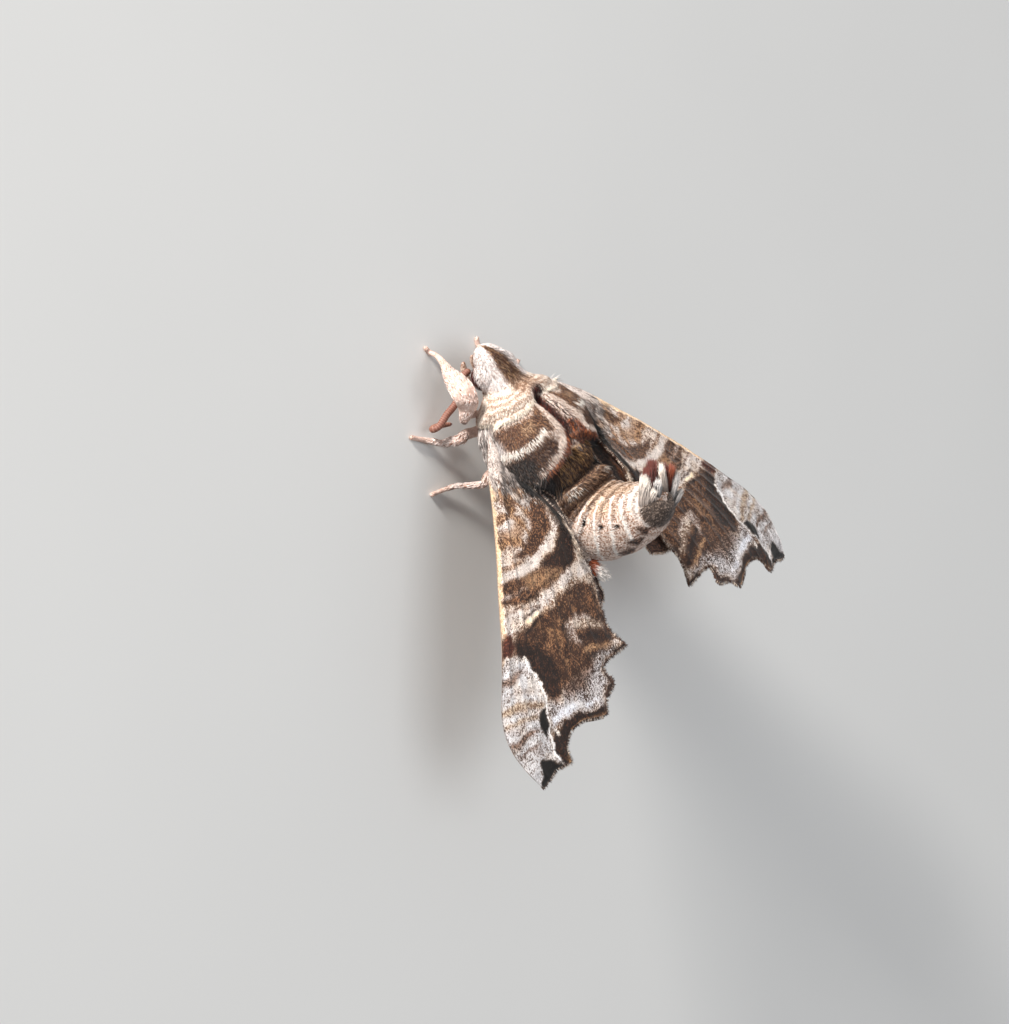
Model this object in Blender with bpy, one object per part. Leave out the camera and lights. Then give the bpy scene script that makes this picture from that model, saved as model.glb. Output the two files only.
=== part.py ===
"""Lettered sphinx moth, life size, standing at rest with its abdomen curled up.

Sizes are in millimetres in the body frame: x to the moth's left, y towards the tail and
z up its back, with the origin between the two wing bases.  The body is pitched a little
nose-down over a level floor.  The model's origin is on the floor, under its box's middle.
"""
from math import cos, radians, sin

import bmesh
import bpy
import numpy as np
from mathutils import Euler, Vector

MM = 0.001
GAP = 0.3
FACET = 0.1
PITCH = radians(9)
BASE_HEIGHT = 5.6
ROUND = 2.3
RING_SIDES = 16

# Trunk stations: y, half width, top and bottom of the cross section
THORAX = [(-2.05, 3.4, 2.3, -3.4), (-1.0, 3.85, 2.9, -3.9), (0.4, 4.05, 3.3, -4.1),
          (1.8, 3.95, 3.4, -4.0), (3.0, 3.65, 3.3, -3.7), (4.0, 3.3, 3.0, -3.3),
          (4.7, 3.0, 2.7, -2.9)]
COLLAR = [(-3.65, 2.4, 1.9, -2.3), (-3.0, 3.3, 2.3, -2.8), (-2.35, 3.95, 2.6, -3.3)]
HEAD = [(-7.35, 0.8, -0.5, -1.3), (-7.05, 1.35, 0.15, -1.8), (-6.4, 1.7, 0.65, -2.1),
        (-5.5, 1.8, 0.95, -2.2), (-4.6, 1.8, 1.35, -2.2), (-3.95, 1.9, 1.6, -2.1)]

# Abdomen stations along its curl: y, z, climb of the axis in degrees, half depth, half width
ABDOMEN = [(5.0, 0.1, 0, 2.9, 3.1), (6.3, 0.3, 16, 3.15, 3.4), (7.9, 0.9, 36, 3.2, 3.4),
           (9.0, 2.3, 54, 3.1, 3.3), (9.3, 4.0, 68, 2.85, 3.05), (9.25, 5.6, 78, 2.5, 2.75),
           (9.0, 7.1, 86, 2.1, 2.3), (8.75, 8.4, 94, 1.55, 1.7), (8.6, 9.3, 98, 0.7, 0.8)]
SEGMENTS = 8
SEGMENT_LIP = 0.16
FRONT_SEGMENTS = (0, 3)
MIDDLE_SEGMENTS = (3, 6)
TAIL_SEGMENTS = (6, 8)

# Tail crown: locks round the last segment, turned forward over the back
TAIL_LOCKS = 11
TAIL_LOCK_LENGTH = 2.7
TAIL_LOCK_WIDTH = 0.62
TAIL_LOCK_DEPTH = 0.3
TAIL_LEAN = -0.42

# Tuft at the inner edge of a hindwing
HIND_LOCKS = 3
HIND_LOCK_LENGTH = 1.1
HIND_LOCK_ROOT = 0.7
HIND_LOCK_WIDTH = 0.4
HIND_LOCK_DEPTH = 0.24

# Palp: x, y, z and radius from under the head forwards
PALP = [(0.66, -4.7, -2.86, 0.22), (0.68, -5.3, -2.89, 0.32), (0.66, -5.9, -2.85, 0.36),
        (0.6, -6.4, -2.7, 0.3), (0.54, -6.75, -2.46, 0.16)]

EYE_PLACE = (1.35, -5.15, -0.45)
EYE_RADIUS = 1.2

# Wing frame: hinge point and the directions along the leading edge, across and out of it
WING_HINGE = Vector((6.056, 0.0, 0.0))
WING_ALONG = Vector((0.453, 0.891, 0.027))
WING_ACROSS = Vector((-0.872, 0.437, 0.221))
WING_OUT = Vector((0.185, -0.124, 0.975))
WING_SPAN = 24.75
WING_ARCH = 1.08
BODY_LIFT = 0.9
WING_THICKNESS = 0.5
VEIN_HEIGHT = 0.2
HINDWING_DROP = 1.2

FORE_LEADING = [(-2.3, 0.8), (0.3, 0.0), (3.5, -0.45), (7.0, -0.95), (10.5, -1.5), (13.5, -1.85),
                (16.5, -2.3), (19.3, -2.75), (21.5, -2.4), (23.4, -1.25), (24.75, 0.0)]
FORE_OUTER = [(24.75, 0.0), (24.2, 0.7), (23.6, 1.25), (23.35, 1.9), (23.15, 2.7), (22.2, 2.45),
              (21.3, 2.7), (20.6, 3.35), (20.2, 4.4), (20.15, 5.5), (19.95, 6.45), (18.9, 6.65),
              (17.75, 7.6), (17.0, 7.0), (16.4, 6.9), (16.0, 7.3), (15.6, 8.1), (15.0, 9.5)]
FORE_TRAILING = [(-0.6, 1.2), (1.1, 2.3), (2.7, 3.7), (4.5, 4.8), (6.3, 5.9), (9.0, 7.2),
                 (11.5, 7.6), (13.6, 8.1), (15.0, 9.5)]
FORE_VEINS = {1: 0.45, 4: 0.0, 7: 0.5, 10: 0.5, 12: 0.0, 14: 0.35, 16: 0.0}
FORE_CELL = (4, 12)
HIND_LEADING = [(0.0, 1.1), (4.0, 1.0), (9.0, 1.0), (14.3, 2.2)]
HIND_OUTER = [(14.3, 2.2), (14.55, 3.1), (14.2, 3.9), (14.1, 4.8), (13.5, 5.6), (13.3, 6.6),
              (12.6, 7.3), (12.2, 8.4), (11.3, 9.6)]
HIND_TRAILING = [(2.4, 3.0), (4.5, 5.0), (6.8, 6.6), (8.8, 8.5), (9.9, 8.9), (11.3, 9.6)]
HIND_VEINS = {2: 0.4, 4: 0.4, 6: 0.25}
HIND_CELL = (2, 4)
WING_ROWS = 24
EVENING = 16
TEGULA_FRONT = -1.95
TEGULA_LENGTH = 5.2
TEGULA_FLARE = 1.0
HIND_ROWS = 14

# Floor frame points of each limb: x, y, z, half width and half depth, from the body out
FLAT_FOOT = 0.2
LEGS = {
    "foreleg_left": [(2.5, -2.55, 1.9, 0.4, 0.38), (3.85, -2.9, 3.15, 0.46, 0.38),
                     (3.8, -4.0, 4.0, 0.85, 0.45), (3.85, -4.8, 4.25, 1.0, 0.45),
                     (3.65, -5.7, 3.8, 0.9, 0.42), (3.15, -6.5, 2.85, 0.58, 0.34),
                     (2.3, -7.0, 1.8, 0.38, 0.3), (1.8, -7.5, 0.9, 0.3, 0.28),
                     (1.7, -7.85, FLAT_FOOT, 0.28, 0.28), (1.95, -8.4, FLAT_FOOT, 0.28, 0.28)],
    "midleg_left": [(3.0, -1.2, 1.7, 0.5, 0.45), (3.9, -1.3, 2.0, 0.5, 0.45),
                    (4.35, -1.35, 1.4, 0.42, 0.4), (4.7, -1.45, 0.8, 0.34, 0.34),
                    (5.5, -2.1, 0.38, 0.3, 0.3), (6.4, -2.8, FLAT_FOOT, 0.28, 0.28),
                    (7.0, -3.25, FLAT_FOOT, 0.28, 0.28)],
    "hindleg_left": [(2.7, 2.6, 1.9, 0.42, 0.4), (3.4, 2.9, 1.9, 0.38, 0.36),
                     (4.2, 2.6, 1.1, 0.3, 0.3), (5.2, 2.1, 0.6, 0.27, 0.27),
                     (6.7, 1.75, FLAT_FOOT, 0.26, 0.26), (7.4, 1.6, FLAT_FOOT, 0.28, 0.28)],
    "foreleg_right": [(-2.4, -2.7, 2.0, 0.42, 0.4), (-3.1, -2.9, 2.5, 0.5, 0.42),
                      (-3.5, -3.6, 2.8, 0.8, 0.45), (-3.6, -4.3, 2.5, 0.85, 0.45),
                      (-3.5, -4.9, 1.8, 0.55, 0.38), (-3.4, -5.3, 1.0, 0.34, 0.3),
                      (-3.45, -5.7, FLAT_FOOT, 0.28, 0.27), (-3.6, -6.4, FLAT_FOOT, 0.28, 0.28)],
    "midleg_right": [(-3.0, -1.2, 1.7, 0.5, 0.45), (-3.9, -1.2, 2.0, 0.5, 0.45),
                     (-4.5, -1.2, 1.3, 0.4, 0.38), (-5.1, -1.5, 0.7, 0.32, 0.32),
                     (-6.2, -2.2, FLAT_FOOT, 0.28, 0.28), (-6.9, -2.7, FLAT_FOOT, 0.28, 0.28)],
    "hindleg_right": [(-2.7, 2.6, 1.9, 0.42, 0.4), (-3.7, 3.6, 2.2, 0.4, 0.38),
                      (-4.5, 5.0, 2.0, 0.36, 0.34), (-5.1, 6.6, 1.1, 0.3, 0.3),
                      (-5.6, 8.2, 0.45, 0.27, 0.27), (-6.0, 9.8, FLAT_FOOT, 0.26, 0.26),
                      (-6.2, 10.6, FLAT_FOOT, 0.28, 0.28)],
}
ANTENNAE = {
    "antenna_left": [(2.2, -6.2, 3.2, 0.3), (2.25, -5.5, 2.7, 0.31), (2.4, -4.5, 2.35, 0.31),
                     (3.1, -3.9, 2.1, 0.31), (4.1, -3.55, 1.85, 0.31), (5.0, -3.1, 1.6, 0.3),
                     (5.4, -3.0, 1.25, 0.29), (5.15, -2.95, 0.85, 0.28), (4.5, -2.8, 0.65, 0.27),
                     (3.8, -2.55, 0.62, 0.25), (3.0, -2.2, 0.75, 0.18)],
    "antenna_right": [(-2.2, -6.2, 3.2, 0.3), (-2.25, -5.5, 2.6, 0.31), (-2.4, -4.6, 1.8, 0.31),
                      (-3.0, -3.7, 1.25, 0.31), (-4.1, -2.9, 1.4, 0.31), (-4.9, -2.0, 2.1, 0.3),
                      (-5.3, -0.6, 2.8, 0.3), (-5.4, 1.0, 2.9, 0.28), (-5.3, 2.3, 2.7, 0.26),
                      (-5.0, 3.4, 2.4, 0.18)],
}

COLOURS = {
    "fur_grey": (0.52, 0.43, 0.37),
    "fur_brown": (0.22, 0.13, 0.085),
    "wing_brown": (0.30, 0.18, 0.12),
    "hindwing_rust": (0.42, 0.17, 0.07),
    "abdomen_tan": (0.50, 0.36, 0.29),
    "leg_pink": (0.62, 0.45, 0.38),
    "antenna_brown": (0.33, 0.16, 0.11),
    "eye_red": (0.10, 0.025, 0.018),
}


def material(name):
    """A plain finish of one named colour."""
    found = bpy.data.materials.get(name)
    if found:
        return found
    made = bpy.data.materials.new(name)
    made.use_nodes = True
    shader = made.node_tree.nodes["Principled BSDF"]
    shader.inputs["Base Color"].default_value = (*COLOURS[name], 1.0)
    shader.inputs["Roughness"].default_value = 0.25 if name == "eye_red" else 0.8
    shader.inputs["Metallic"].default_value = 0.0
    return made


def through(points, count):
    """Count points along a smooth curve through the given ones, evenly spaced by length."""
    points = np.array(points, float)
    ends = np.vstack([2 * points[0] - points[1], points, 2 * points[-1] - points[-2]])
    dense = []
    for k in range(len(points) - 1):
        before, start, stop, after = ends[k:k + 4]
        u = np.linspace(0, 1, 12, endpoint=False)[:, None]
        bend = 2 * before - 5 * start + 4 * stop - after
        twist = 3 * start - before - 3 * stop + after
        dense.append(start + 0.5 * u * (stop - before + u * (bend + u * twist)))
    dense = np.vstack(dense + [points[-1:]])
    steps = np.linalg.norm(np.diff(dense[:, :3], axis=0), axis=1)
    length = np.concatenate([[0], np.cumsum(steps)])
    at = np.linspace(0, length[-1], count)
    return np.stack([np.interp(at, length, column) for column in dense.T], axis=1)


def to_body(floor_point):
    """A point of the floor frame, with z from the floor, in the pitched body frame."""
    x, y, z = floor_point[:3]
    z = z - BASE_HEIGHT
    return np.array([x, cos(PITCH) * y + sin(PITCH) * z, cos(PITCH) * z - sin(PITCH) * y])


def solid(name, points, faces, finish, parent):
    """One closed body from points in millimetres, with its faces turned out."""
    mesh = bpy.data.meshes.new(name)
    mesh.from_pydata((np.array(points) * MM).tolist(), [], faces)
    work = bmesh.new()
    work.from_mesh(mesh)
    bmesh.ops.recalc_face_normals(work, faces=work.faces)
    work.to_mesh(mesh)
    work.free()
    mesh.shade_smooth()
    mesh.set_sharp_from_angle(angle=radians(50))
    mesh.materials.append(material(finish))
    made = bpy.data.objects.new(name, mesh)
    moth.objects.link(made)
    made.parent = parent
    return made


def loft(name, rings, finish, parent):
    """A closed body through equal rings of points, with a fan at each end."""
    rings = np.array(rings, float)
    count, sides = rings.shape[:2]
    points = np.vstack([rings.reshape(-1, 3), rings[0].mean(0), rings[-1].mean(0)])
    first, last = count * sides, count * sides + 1
    faces = []
    for side in range(sides):
        other = (side + 1) % sides
        for row in range(count - 1):
            low, high = row * sides, (row + 1) * sides
            faces.append((low + side, low + other, high + other, high + side))
        faces.append((first, other, side))
        faces.append((last, (count - 1) * sides + side, (count - 1) * sides + other))
    return solid(name, points, faces, finish, parent)


def trunk_ring(half_width, top, bottom):
    """Rounded-square cross section, from the top of the back round by the left side."""
    turn = np.linspace(0, 2 * np.pi, RING_SIDES, endpoint=False)
    power = 2 / ROUND
    across = np.sign(np.sin(turn)) * np.abs(np.sin(turn)) ** power
    up = np.sign(np.cos(turn)) * np.abs(np.cos(turn)) ** power
    middle = (top + bottom) / 2
    return across * half_width, middle + up * (top - bottom) / 2


def trunk(name, stations, rings, finish, parent):
    """A length of the trunk between two flat ends."""
    made = []
    for y, half_width, top, bottom in through(stations, rings):
        across, up = trunk_ring(half_width, top, bottom)
        made.append(np.stack([across, np.full_like(across, y), up], axis=1))
    return loft(name, made, finish, parent)


def thorax_side(y, z):
    """How far the thorax reaches to the side at y and z."""
    stations = np.array(THORAX)
    half_width, top, bottom = (np.interp(y, stations[:, 0], stations[:, k]) for k in (1, 2, 3))
    height = np.abs((z - (top + bottom) / 2) / ((top - bottom) / 2))
    inside = (y > stations[0, 0] - 1) & (y < stations[-1, 0] + GAP)
    return np.where(inside, half_width * (1 - np.clip(height, 0, 1) ** ROUND) ** (1 / ROUND), 0)


def abdomen_side(y, z):
    """How far the curled abdomen reaches to the side at y and z."""
    path = through(ABDOMEN, 60)
    away = np.hypot(y[..., None] - path[:, 0], z[..., None] - path[:, 1])
    nearest = away.argmin(axis=-1)
    share = np.clip(away.min(axis=-1) / path[nearest, 3], 0, 1)
    return path[nearest, 4] * np.sqrt(1 - share ** 2)


def abdomen_length(name, first, last, parent):
    """Some segments of the abdomen, each with a low lip along its rear edge."""
    path = through(ABDOMEN, 241)
    per_segment = 240 / SEGMENTS
    rings = []
    for segment in range(first, last):
        for share, lip in ((0.0, 0.0), (0.55, 0.5), (0.86, 1.0), (0.95, 0.7)):
            station = path[int(round((segment + share) * per_segment))].copy()
            if segment == first and share == 0.0 and first > 0:
                station = path[int(round((segment - 0.05) * per_segment))].copy()
                climb = radians(station[2])
                station[:2] += (GAP + FACET) * np.array([cos(climb), sin(climb)])
            rings.append(abdomen_ring(station, lip * SEGMENT_LIP))
    if last == SEGMENTS:
        rings.append(abdomen_ring(path[-1], 0))
    return loft(name, rings, "abdomen_tan", parent)


def abdomen_ring(station, lip):
    y, z, climb, half_depth, half_width = station
    climb = radians(climb)
    across, up = trunk_ring(half_width + lip, half_depth + lip, -half_depth - lip)
    return np.stack([across, y - up * sin(climb), z + up * cos(climb)], axis=1)


def wing_height(a, b):
    """Height of the wing over its flat frame: an arch, lifted where it rides on the body."""
    along = np.clip((a + 3) / (WING_SPAN + 3), 0, 1)
    arch = WING_ARCH * np.sin(np.pi * along) ** 0.9 * (1 - (b / 8) ** 2 * 0.8)
    on_body = np.exp(-((a - 4.5) / 3.2) ** 2) * np.clip((b - 2) / 3, 0, 1) ** 1.5
    return arch + BODY_LIFT * on_body


def wing_sheet(leading, outer, trailing, rows, drop):
    """Mid surface of a wing as a grid: a patch between its four margins, laid over the body."""
    columns = len(outer)
    s = np.linspace(0, 1, rows + 1)[:, None, None]
    t = np.linspace(0, 1, columns)[None, :, None]
    front = through(leading, rows + 1)[:, None, :]
    back = through(trailing, rows + 1)[:, None, :]
    teeth = np.array(outer, float)[None] - (1 - t) * front[-1] - t * back[-1]
    flat = (1 - t) * front + t * back + s ** 3 * teeth
    for _ in range(EVENING):
        flat[1:-1, 1:-1] = (flat[:-2, 1:-1] + flat[2:, 1:-1] + flat[1:-1, :-2] + flat[1:-1, 2:]) / 4
    height = wing_height(flat[..., 0], flat[..., 1]) - drop
    sheet = (np.array(WING_HINGE) + flat[..., :1] * np.array(WING_ALONG)
             + flat[..., 1:] * np.array(WING_ACROSS) + height[..., None] * np.array(WING_OUT))
    side = np.maximum(thorax_side(sheet[..., 1], sheet[..., 2]),
                      abdomen_side(sheet[..., 1], sheet[..., 2]))
    clear = np.where(side > 0, side + GAP + WING_THICKNESS, 0)
    spare = sheet[..., 0] - clear
    sheet[..., 0] = clear + (spare + np.sqrt(spare ** 2 + 0.08)) / 2
    sheet[0, :, 0] = side[0] + GAP + FACET
    return sheet


def wing_top(x, y):
    """Height of the forewing's upper face near the hinge, above the body frame's x and y."""
    a = (x - WING_HINGE.x) * WING_ALONG.x + y * WING_ALONG.y
    b = (x - WING_HINGE.x) * WING_ACROSS.x + y * WING_ACROSS.y
    rise = wing_height(a, b) - (x - WING_HINGE.x) * WING_OUT.x - y * WING_OUT.y
    return rise / WING_OUT.z + WING_THICKNESS / 2 + VEIN_HEIGHT


def wing(name, sheet, veins, cell, mirror, finish, parent):
    """A thick membrane with raised veins, its faces split alike above and below."""
    rows = sheet.shape[0] - 1
    up = np.array(WING_OUT)
    raised = np.zeros(sheet.shape[:2])
    share = np.linspace(0, 1, rows + 1)
    for column, start in veins.items():
        raised[:, column] = np.where(share >= start, 1 - 0.6 * share, 0)
    raised[rows // 2, cell[0]:cell[1] + 1] = 0.6
    raised[0] = 0
    above = sheet + up * (WING_THICKNESS / 2 + VEIN_HEIGHT * raised[..., None])
    below = sheet - up * (WING_THICKNESS / 2 + VEIN_HEIGHT * raised[..., None] * 0.3)
    return plate(name, above, below, mirror, finish, parent)


def plate(name, above, below, mirror, finish, parent):
    """A closed sheet between two grids of points, its faces split alike above and below."""
    rows, columns = above.shape[0] - 1, above.shape[1]
    points = np.vstack([above.reshape(-1, 3), below.reshape(-1, 3)])
    if mirror:
        points[:, 0] = -points[:, 0]
    under = (rows + 1) * columns
    faces = []
    for row in range(rows):
        for column in range(columns - 1):
            a = row * columns + column
            b, c, d = a + 1, a + columns + 1, a + columns
            faces += [(a, b, c), (a, c, d), (under + c, under + b, under + a),
                      (under + d, under + c, under + a)]
    rim = [row * columns for row in range(rows)]
    rim += [rows * columns + column for column in range(columns - 1)]
    rim += [row * columns + columns - 1 for row in range(rows, 0, -1)]
    rim += [column for column in range(columns - 1, 0, -1)]
    for here, there in zip(rim, rim[1:] + rim[:1]):
        faces += [(here, there, under + there), (here, under + there, under + here)]
    return solid(name, points, faces, finish, parent)


def limb(name, stations, rings, finish, parent, face=(0.648, -0.225, 0.728), on_floor=True):
    """A leg or feeler lofted along a smooth path, broad side to face, flat where it stands."""
    stations = [tuple(s) if len(s) == 5 else (*s, s[3]) for s in stations]
    path = through(stations, rings)
    face = np.array(face)
    made = []
    run = np.gradient(path[:, :3], axis=0)
    turn = np.linspace(0, 2 * np.pi, 10, endpoint=False)
    for station, way in zip(path, run):
        broad = np.cross(way, face)
        broad /= np.linalg.norm(broad)
        deep = np.cross(way, broad)
        deep /= np.linalg.norm(deep)
        ring = (station[:3] + np.cos(turn)[:, None] * broad * station[3]
                + np.sin(turn)[:, None] * deep * station[4])
        if on_floor:
            ring[:, 2] = np.maximum(ring[:, 2], 0)
        made.append([to_body(point) for point in ring])
    return loft(name, made, finish, parent)


def lock(path, width, depth, face):
    """A flat tapered lock along a path, as a free closed body for joining."""
    path = through(path, 5)
    run = np.gradient(path, axis=0)
    turn = np.linspace(0, 2 * np.pi, 6, endpoint=False)
    rings = []
    for share, middle, way in zip((0.8, 1.0, 0.95, 0.65, 0.16), path, run):
        broad = np.cross(way, face)
        broad /= np.linalg.norm(broad)
        deep = np.cross(way, broad)
        deep /= np.linalg.norm(deep)
        rings.append(middle + np.cos(turn)[:, None] * broad * width * share
                     + np.sin(turn)[:, None] * deep * depth * (0.5 + share / 2))
    return loft("lock", rings, "fur_grey", None)


def join(target, locks):
    """Fuse locks into the object that they grow from, and keep its one outer surface."""
    group = bpy.data.collections.new(target.name + "_locks")
    bpy.context.scene.collection.children.link(group)
    for piece in locks:
        moth.objects.unlink(piece)
        group.objects.link(piece)
        piece.parent = target.parent
    bpy.context.view_layer.update()
    step = target.modifiers.new("join", "BOOLEAN")
    step.operation = "UNION"
    step.operand_type = "COLLECTION"
    step.collection = group
    step.solver = "EXACT"
    graph = bpy.context.evaluated_depsgraph_get()
    joined = bpy.data.meshes.new_from_object(target.evaluated_get(graph))
    target.modifiers.remove(step)
    target.data = joined
    for piece in locks:
        bpy.data.objects.remove(piece, do_unlink=True)
    bpy.data.collections.remove(group)
    keep_largest(joined)


def keep_largest(mesh):
    """Drop every loose surface but the one with the most faces."""
    work = bmesh.new()
    work.from_mesh(mesh)
    left = set(work.faces)
    shells = []
    while left:
        shell = {left.pop()}
        front = list(shell)
        while front:
            face = front.pop()
            for edge in face.edges:
                for other in edge.link_faces:
                    if other in left:
                        left.remove(other)
                        shell.add(other)
                        front.append(other)
        shells.append(shell)
    shells.sort(key=len)
    loose = [face for shell in shells[:-1] for face in shell]
    bmesh.ops.delete(work, geom=loose, context="FACES")
    bmesh.ops.delete(work, geom=[v for v in work.verts if not v.link_faces], context="VERTS")
    work.to_mesh(mesh)
    work.free()


def tail_crown():
    """Locks that stand round the tip of the abdomen and lean over the back."""
    rng = np.random.default_rng(5)
    tip = through(ABDOMEN, 241)[226]
    y, z, climb, half_depth, half_width = tip
    axis = np.array([0, cos(radians(climb)), sin(radians(climb))])
    dorsal = np.array([0, -sin(radians(climb)), cos(radians(climb))])
    made = []
    for k in range(TAIL_LOCKS):
        turn = 2 * np.pi * (k + 0.5) / TAIL_LOCKS
        out = np.array([sin(turn), 0, 0]) + cos(turn) * dorsal
        root = (np.array([0, y, z]) + np.array([half_width * sin(turn), 0, 0]) * 0.62
                + dorsal * half_depth * cos(turn) * 0.62 - axis * 0.35)
        lean = np.array([0, TAIL_LEAN, 0])
        length = TAIL_LOCK_LENGTH * (0.82 + 0.18 * cos(turn) + 0.12 * rng.uniform(-1, 1))
        way = axis + 0.5 * out + lean
        way /= np.linalg.norm(way)
        bend = way + 0.35 * out
        path = [root, root + way * length * 0.5, root + bend / np.linalg.norm(bend) * length]
        made.append(lock(path, TAIL_LOCK_WIDTH, TAIL_LOCK_DEPTH, out))
    return made


def hind_tuft(sheet, mirror):
    """Fluffy locks that stick out from the inner edge of a hindwing."""
    made = []
    across = np.array([0, 0, 1.0])
    for k in range(HIND_LOCKS):
        row = HIND_ROWS - 3 + k
        edge = sheet[row, -1]
        inward = sheet[row, -2] - edge
        inward /= np.linalg.norm(inward)
        root = edge + inward * HIND_LOCK_ROOT
        out = -0.5 * inward + np.array([0, 0.5, 0.6])
        out /= np.linalg.norm(out)
        length = HIND_LOCK_LENGTH * (0.8 + 0.2 * ((k * 7) % 3) / 2) + HIND_LOCK_ROOT
        path = [root, root + out * length * 0.55, root + out * length + across * 0.25]
        if mirror:
            path = [point * np.array([-1, 1, 1]) for point in path]
        made.append(lock(path, HIND_LOCK_WIDTH, HIND_LOCK_DEPTH, across))
    return made


def eye(name, side, parent):
    """A round eye sunk in the side of the head."""
    work = bmesh.new()
    bmesh.ops.create_uvsphere(work, u_segments=16, v_segments=10, radius=EYE_RADIUS * MM)
    mesh = bpy.data.meshes.new(name)
    work.to_mesh(mesh)
    work.free()
    mesh.shade_smooth()
    mesh.materials.append(material("eye_red"))
    made = bpy.data.objects.new(name, mesh)
    made.location = Vector((side * EYE_PLACE[0], EYE_PLACE[1], EYE_PLACE[2])) * MM
    made.parent = parent
    moth.objects.link(made)
    return made


def eye_socket(name, side, parent):
    """Cutter that leaves a thin gap round an eye."""
    work = bmesh.new()
    bmesh.ops.create_uvsphere(work, u_segments=20, v_segments=12, radius=(EYE_RADIUS + GAP) * MM)
    mesh = bpy.data.meshes.new(name)
    work.to_mesh(mesh)
    work.free()
    made = bpy.data.objects.new(name, mesh)
    made.location = Vector((side * EYE_PLACE[0], EYE_PLACE[1], EYE_PLACE[2])) * MM
    made.parent = parent
    made.hide_render = True
    made.display_type = "WIRE"
    cutters.objects.link(made)
    return made


def palp(name, side, parent):
    """A labial palp held close under the face, its tip turned up."""
    rings = []
    turn = np.linspace(0, 2 * np.pi, 10, endpoint=False)
    path = through(PALP, 8)
    run = np.gradient(path[:, :3], axis=0)
    for station, way in zip(path, run):
        broad = np.cross(way, (0, 1, 0.2))
        broad /= np.linalg.norm(broad)
        deep = np.cross(way, broad)
        deep /= np.linalg.norm(deep)
        ring = (station[:3] + (np.cos(turn)[:, None] * broad + np.sin(turn)[:, None] * deep)
                * station[3])
        rings.append(ring * np.array([side, 1, 1]))
    return loft(name, rings, "fur_grey", parent)


def tegula(name, side, parent):
    """Shoulder scale: a leaf-shaped shell from beside the disc out over the wing's hinge."""
    rows, columns = 10, 7
    stations = np.array(THORAX)
    share = np.linspace(0, 1, rows + 1)[:, None]
    across = np.linspace(0, 1, columns + 1)[None, :]
    y = TEGULA_FRONT + TEGULA_LENGTH * share + 0 * across
    inner = np.radians(12 + 26 * share ** 1.5)
    outer = np.radians(78 - 8 * share)
    waist = np.clip(1 - np.abs(2 * share - 0.9) ** 4, 0.1, 1) ** 0.5
    turn = (inner + outer) / 2 + (across - 0.5) * (outer - inner) * waist
    half_width, top, bottom = (np.interp(y, stations[:, 0], stations[:, k]) for k in (1, 2, 3))
    half_height = (top - bottom) / 2
    out = np.stack([np.sin(turn), 0 * turn, np.cos(turn)], axis=2)
    below = np.stack([half_width * np.sin(turn) ** (2 / ROUND), y,
                      (top + bottom) / 2 + half_height * np.cos(turn) ** (2 / ROUND)], axis=2)
    below += out * (GAP + 0.06)
    below[..., 0] += TEGULA_FLARE * np.clip((turn - radians(50)) / radians(28), 0, 1) ** 1.5
    below[..., 2] = np.maximum(below[..., 2], wing_top(below[..., 0], y) + GAP + 2 * FACET)
    above = below + out * WING_THICKNESS + np.array((0, 0, 0.1))
    return plate(name, above, below, side < 0, "fur_brown", parent)


def cut(target, cutter):
    """Take a cutter's shape out of an object."""
    step = target.modifiers.new("socket", "BOOLEAN")
    step.operation = "DIFFERENCE"
    step.object = cutter


for old in list(bpy.data.objects):
    bpy.data.objects.remove(old, do_unlink=True)
moth = bpy.data.collections.new("lettered_sphinx_moth")
cutters = bpy.data.collections.new("cutters")
bpy.context.scene.collection.children.link(moth)
bpy.context.scene.collection.children.link(cutters)

stance = bpy.data.objects.new("stance", None)
body_frame = bpy.data.objects.new("body_frame", None)
for empty in (stance, body_frame):
    bpy.context.scene.collection.objects.link(empty)
body_frame.parent = stance
body_frame.rotation_euler = Euler((PITCH, 0, 0))
body_frame.location = Vector((0, 0, BASE_HEIGHT)) * MM

head = trunk("head", HEAD, 9, "fur_grey", body_frame)
trunk("collar", COLLAR, 5, "fur_grey", body_frame)
trunk("thorax", THORAX, 13, "fur_brown", body_frame)
abdomen_length("abdomen_front", *FRONT_SEGMENTS, body_frame)
abdomen_length("abdomen_middle", *MIDDLE_SEGMENTS, body_frame)
tail = abdomen_length("abdomen_tail", *TAIL_SEGMENTS, body_frame)
join(tail, tail_crown())

fore_sheet = wing_sheet(FORE_LEADING, FORE_OUTER, FORE_TRAILING, WING_ROWS, 0.0)
hind_sheet = wing_sheet(HIND_LEADING, HIND_OUTER, HIND_TRAILING, HIND_ROWS, HINDWING_DROP)
for word, side in (("left", 1), ("right", -1)):
    wing("forewing_" + word, fore_sheet, FORE_VEINS, FORE_CELL, side < 0, "wing_brown", body_frame)
    hindwing = wing("hindwing_" + word, hind_sheet, HIND_VEINS, HIND_CELL, side < 0,
                    "hindwing_rust", body_frame)
    join(hindwing, hind_tuft(hind_sheet, side < 0))
    eye("eye_" + word, side, body_frame)
    cut(head, eye_socket("socket_" + word, side, body_frame))
    palp("palp_" + word, side, body_frame)
    tegula("tegula_" + word, side, body_frame)
for name, stations in LEGS.items():
    limb(name, stations, 14, "leg_pink", body_frame)
for name, stations in ANTENNAE.items():
    limb(name, stations, 16, "antenna_brown", body_frame, on_floor=False)

bpy.context.view_layer.update()
low = np.full(3, 1e9)
high = np.full(3, -1e9)
for piece in moth.objects:
    corners = np.array([piece.matrix_world @ vertex.co for vertex in piece.data.vertices])
    low = np.minimum(low, corners.min(axis=0))
    high = np.maximum(high, corners.max(axis=0))
stance.location = (-(low[0] + high[0]) / 2, -(low[1] + high[1]) / 2, -low[2])
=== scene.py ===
import math
from functools import partial
import bpy
import numpy as np
from mathutils import Matrix, Vector


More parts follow.
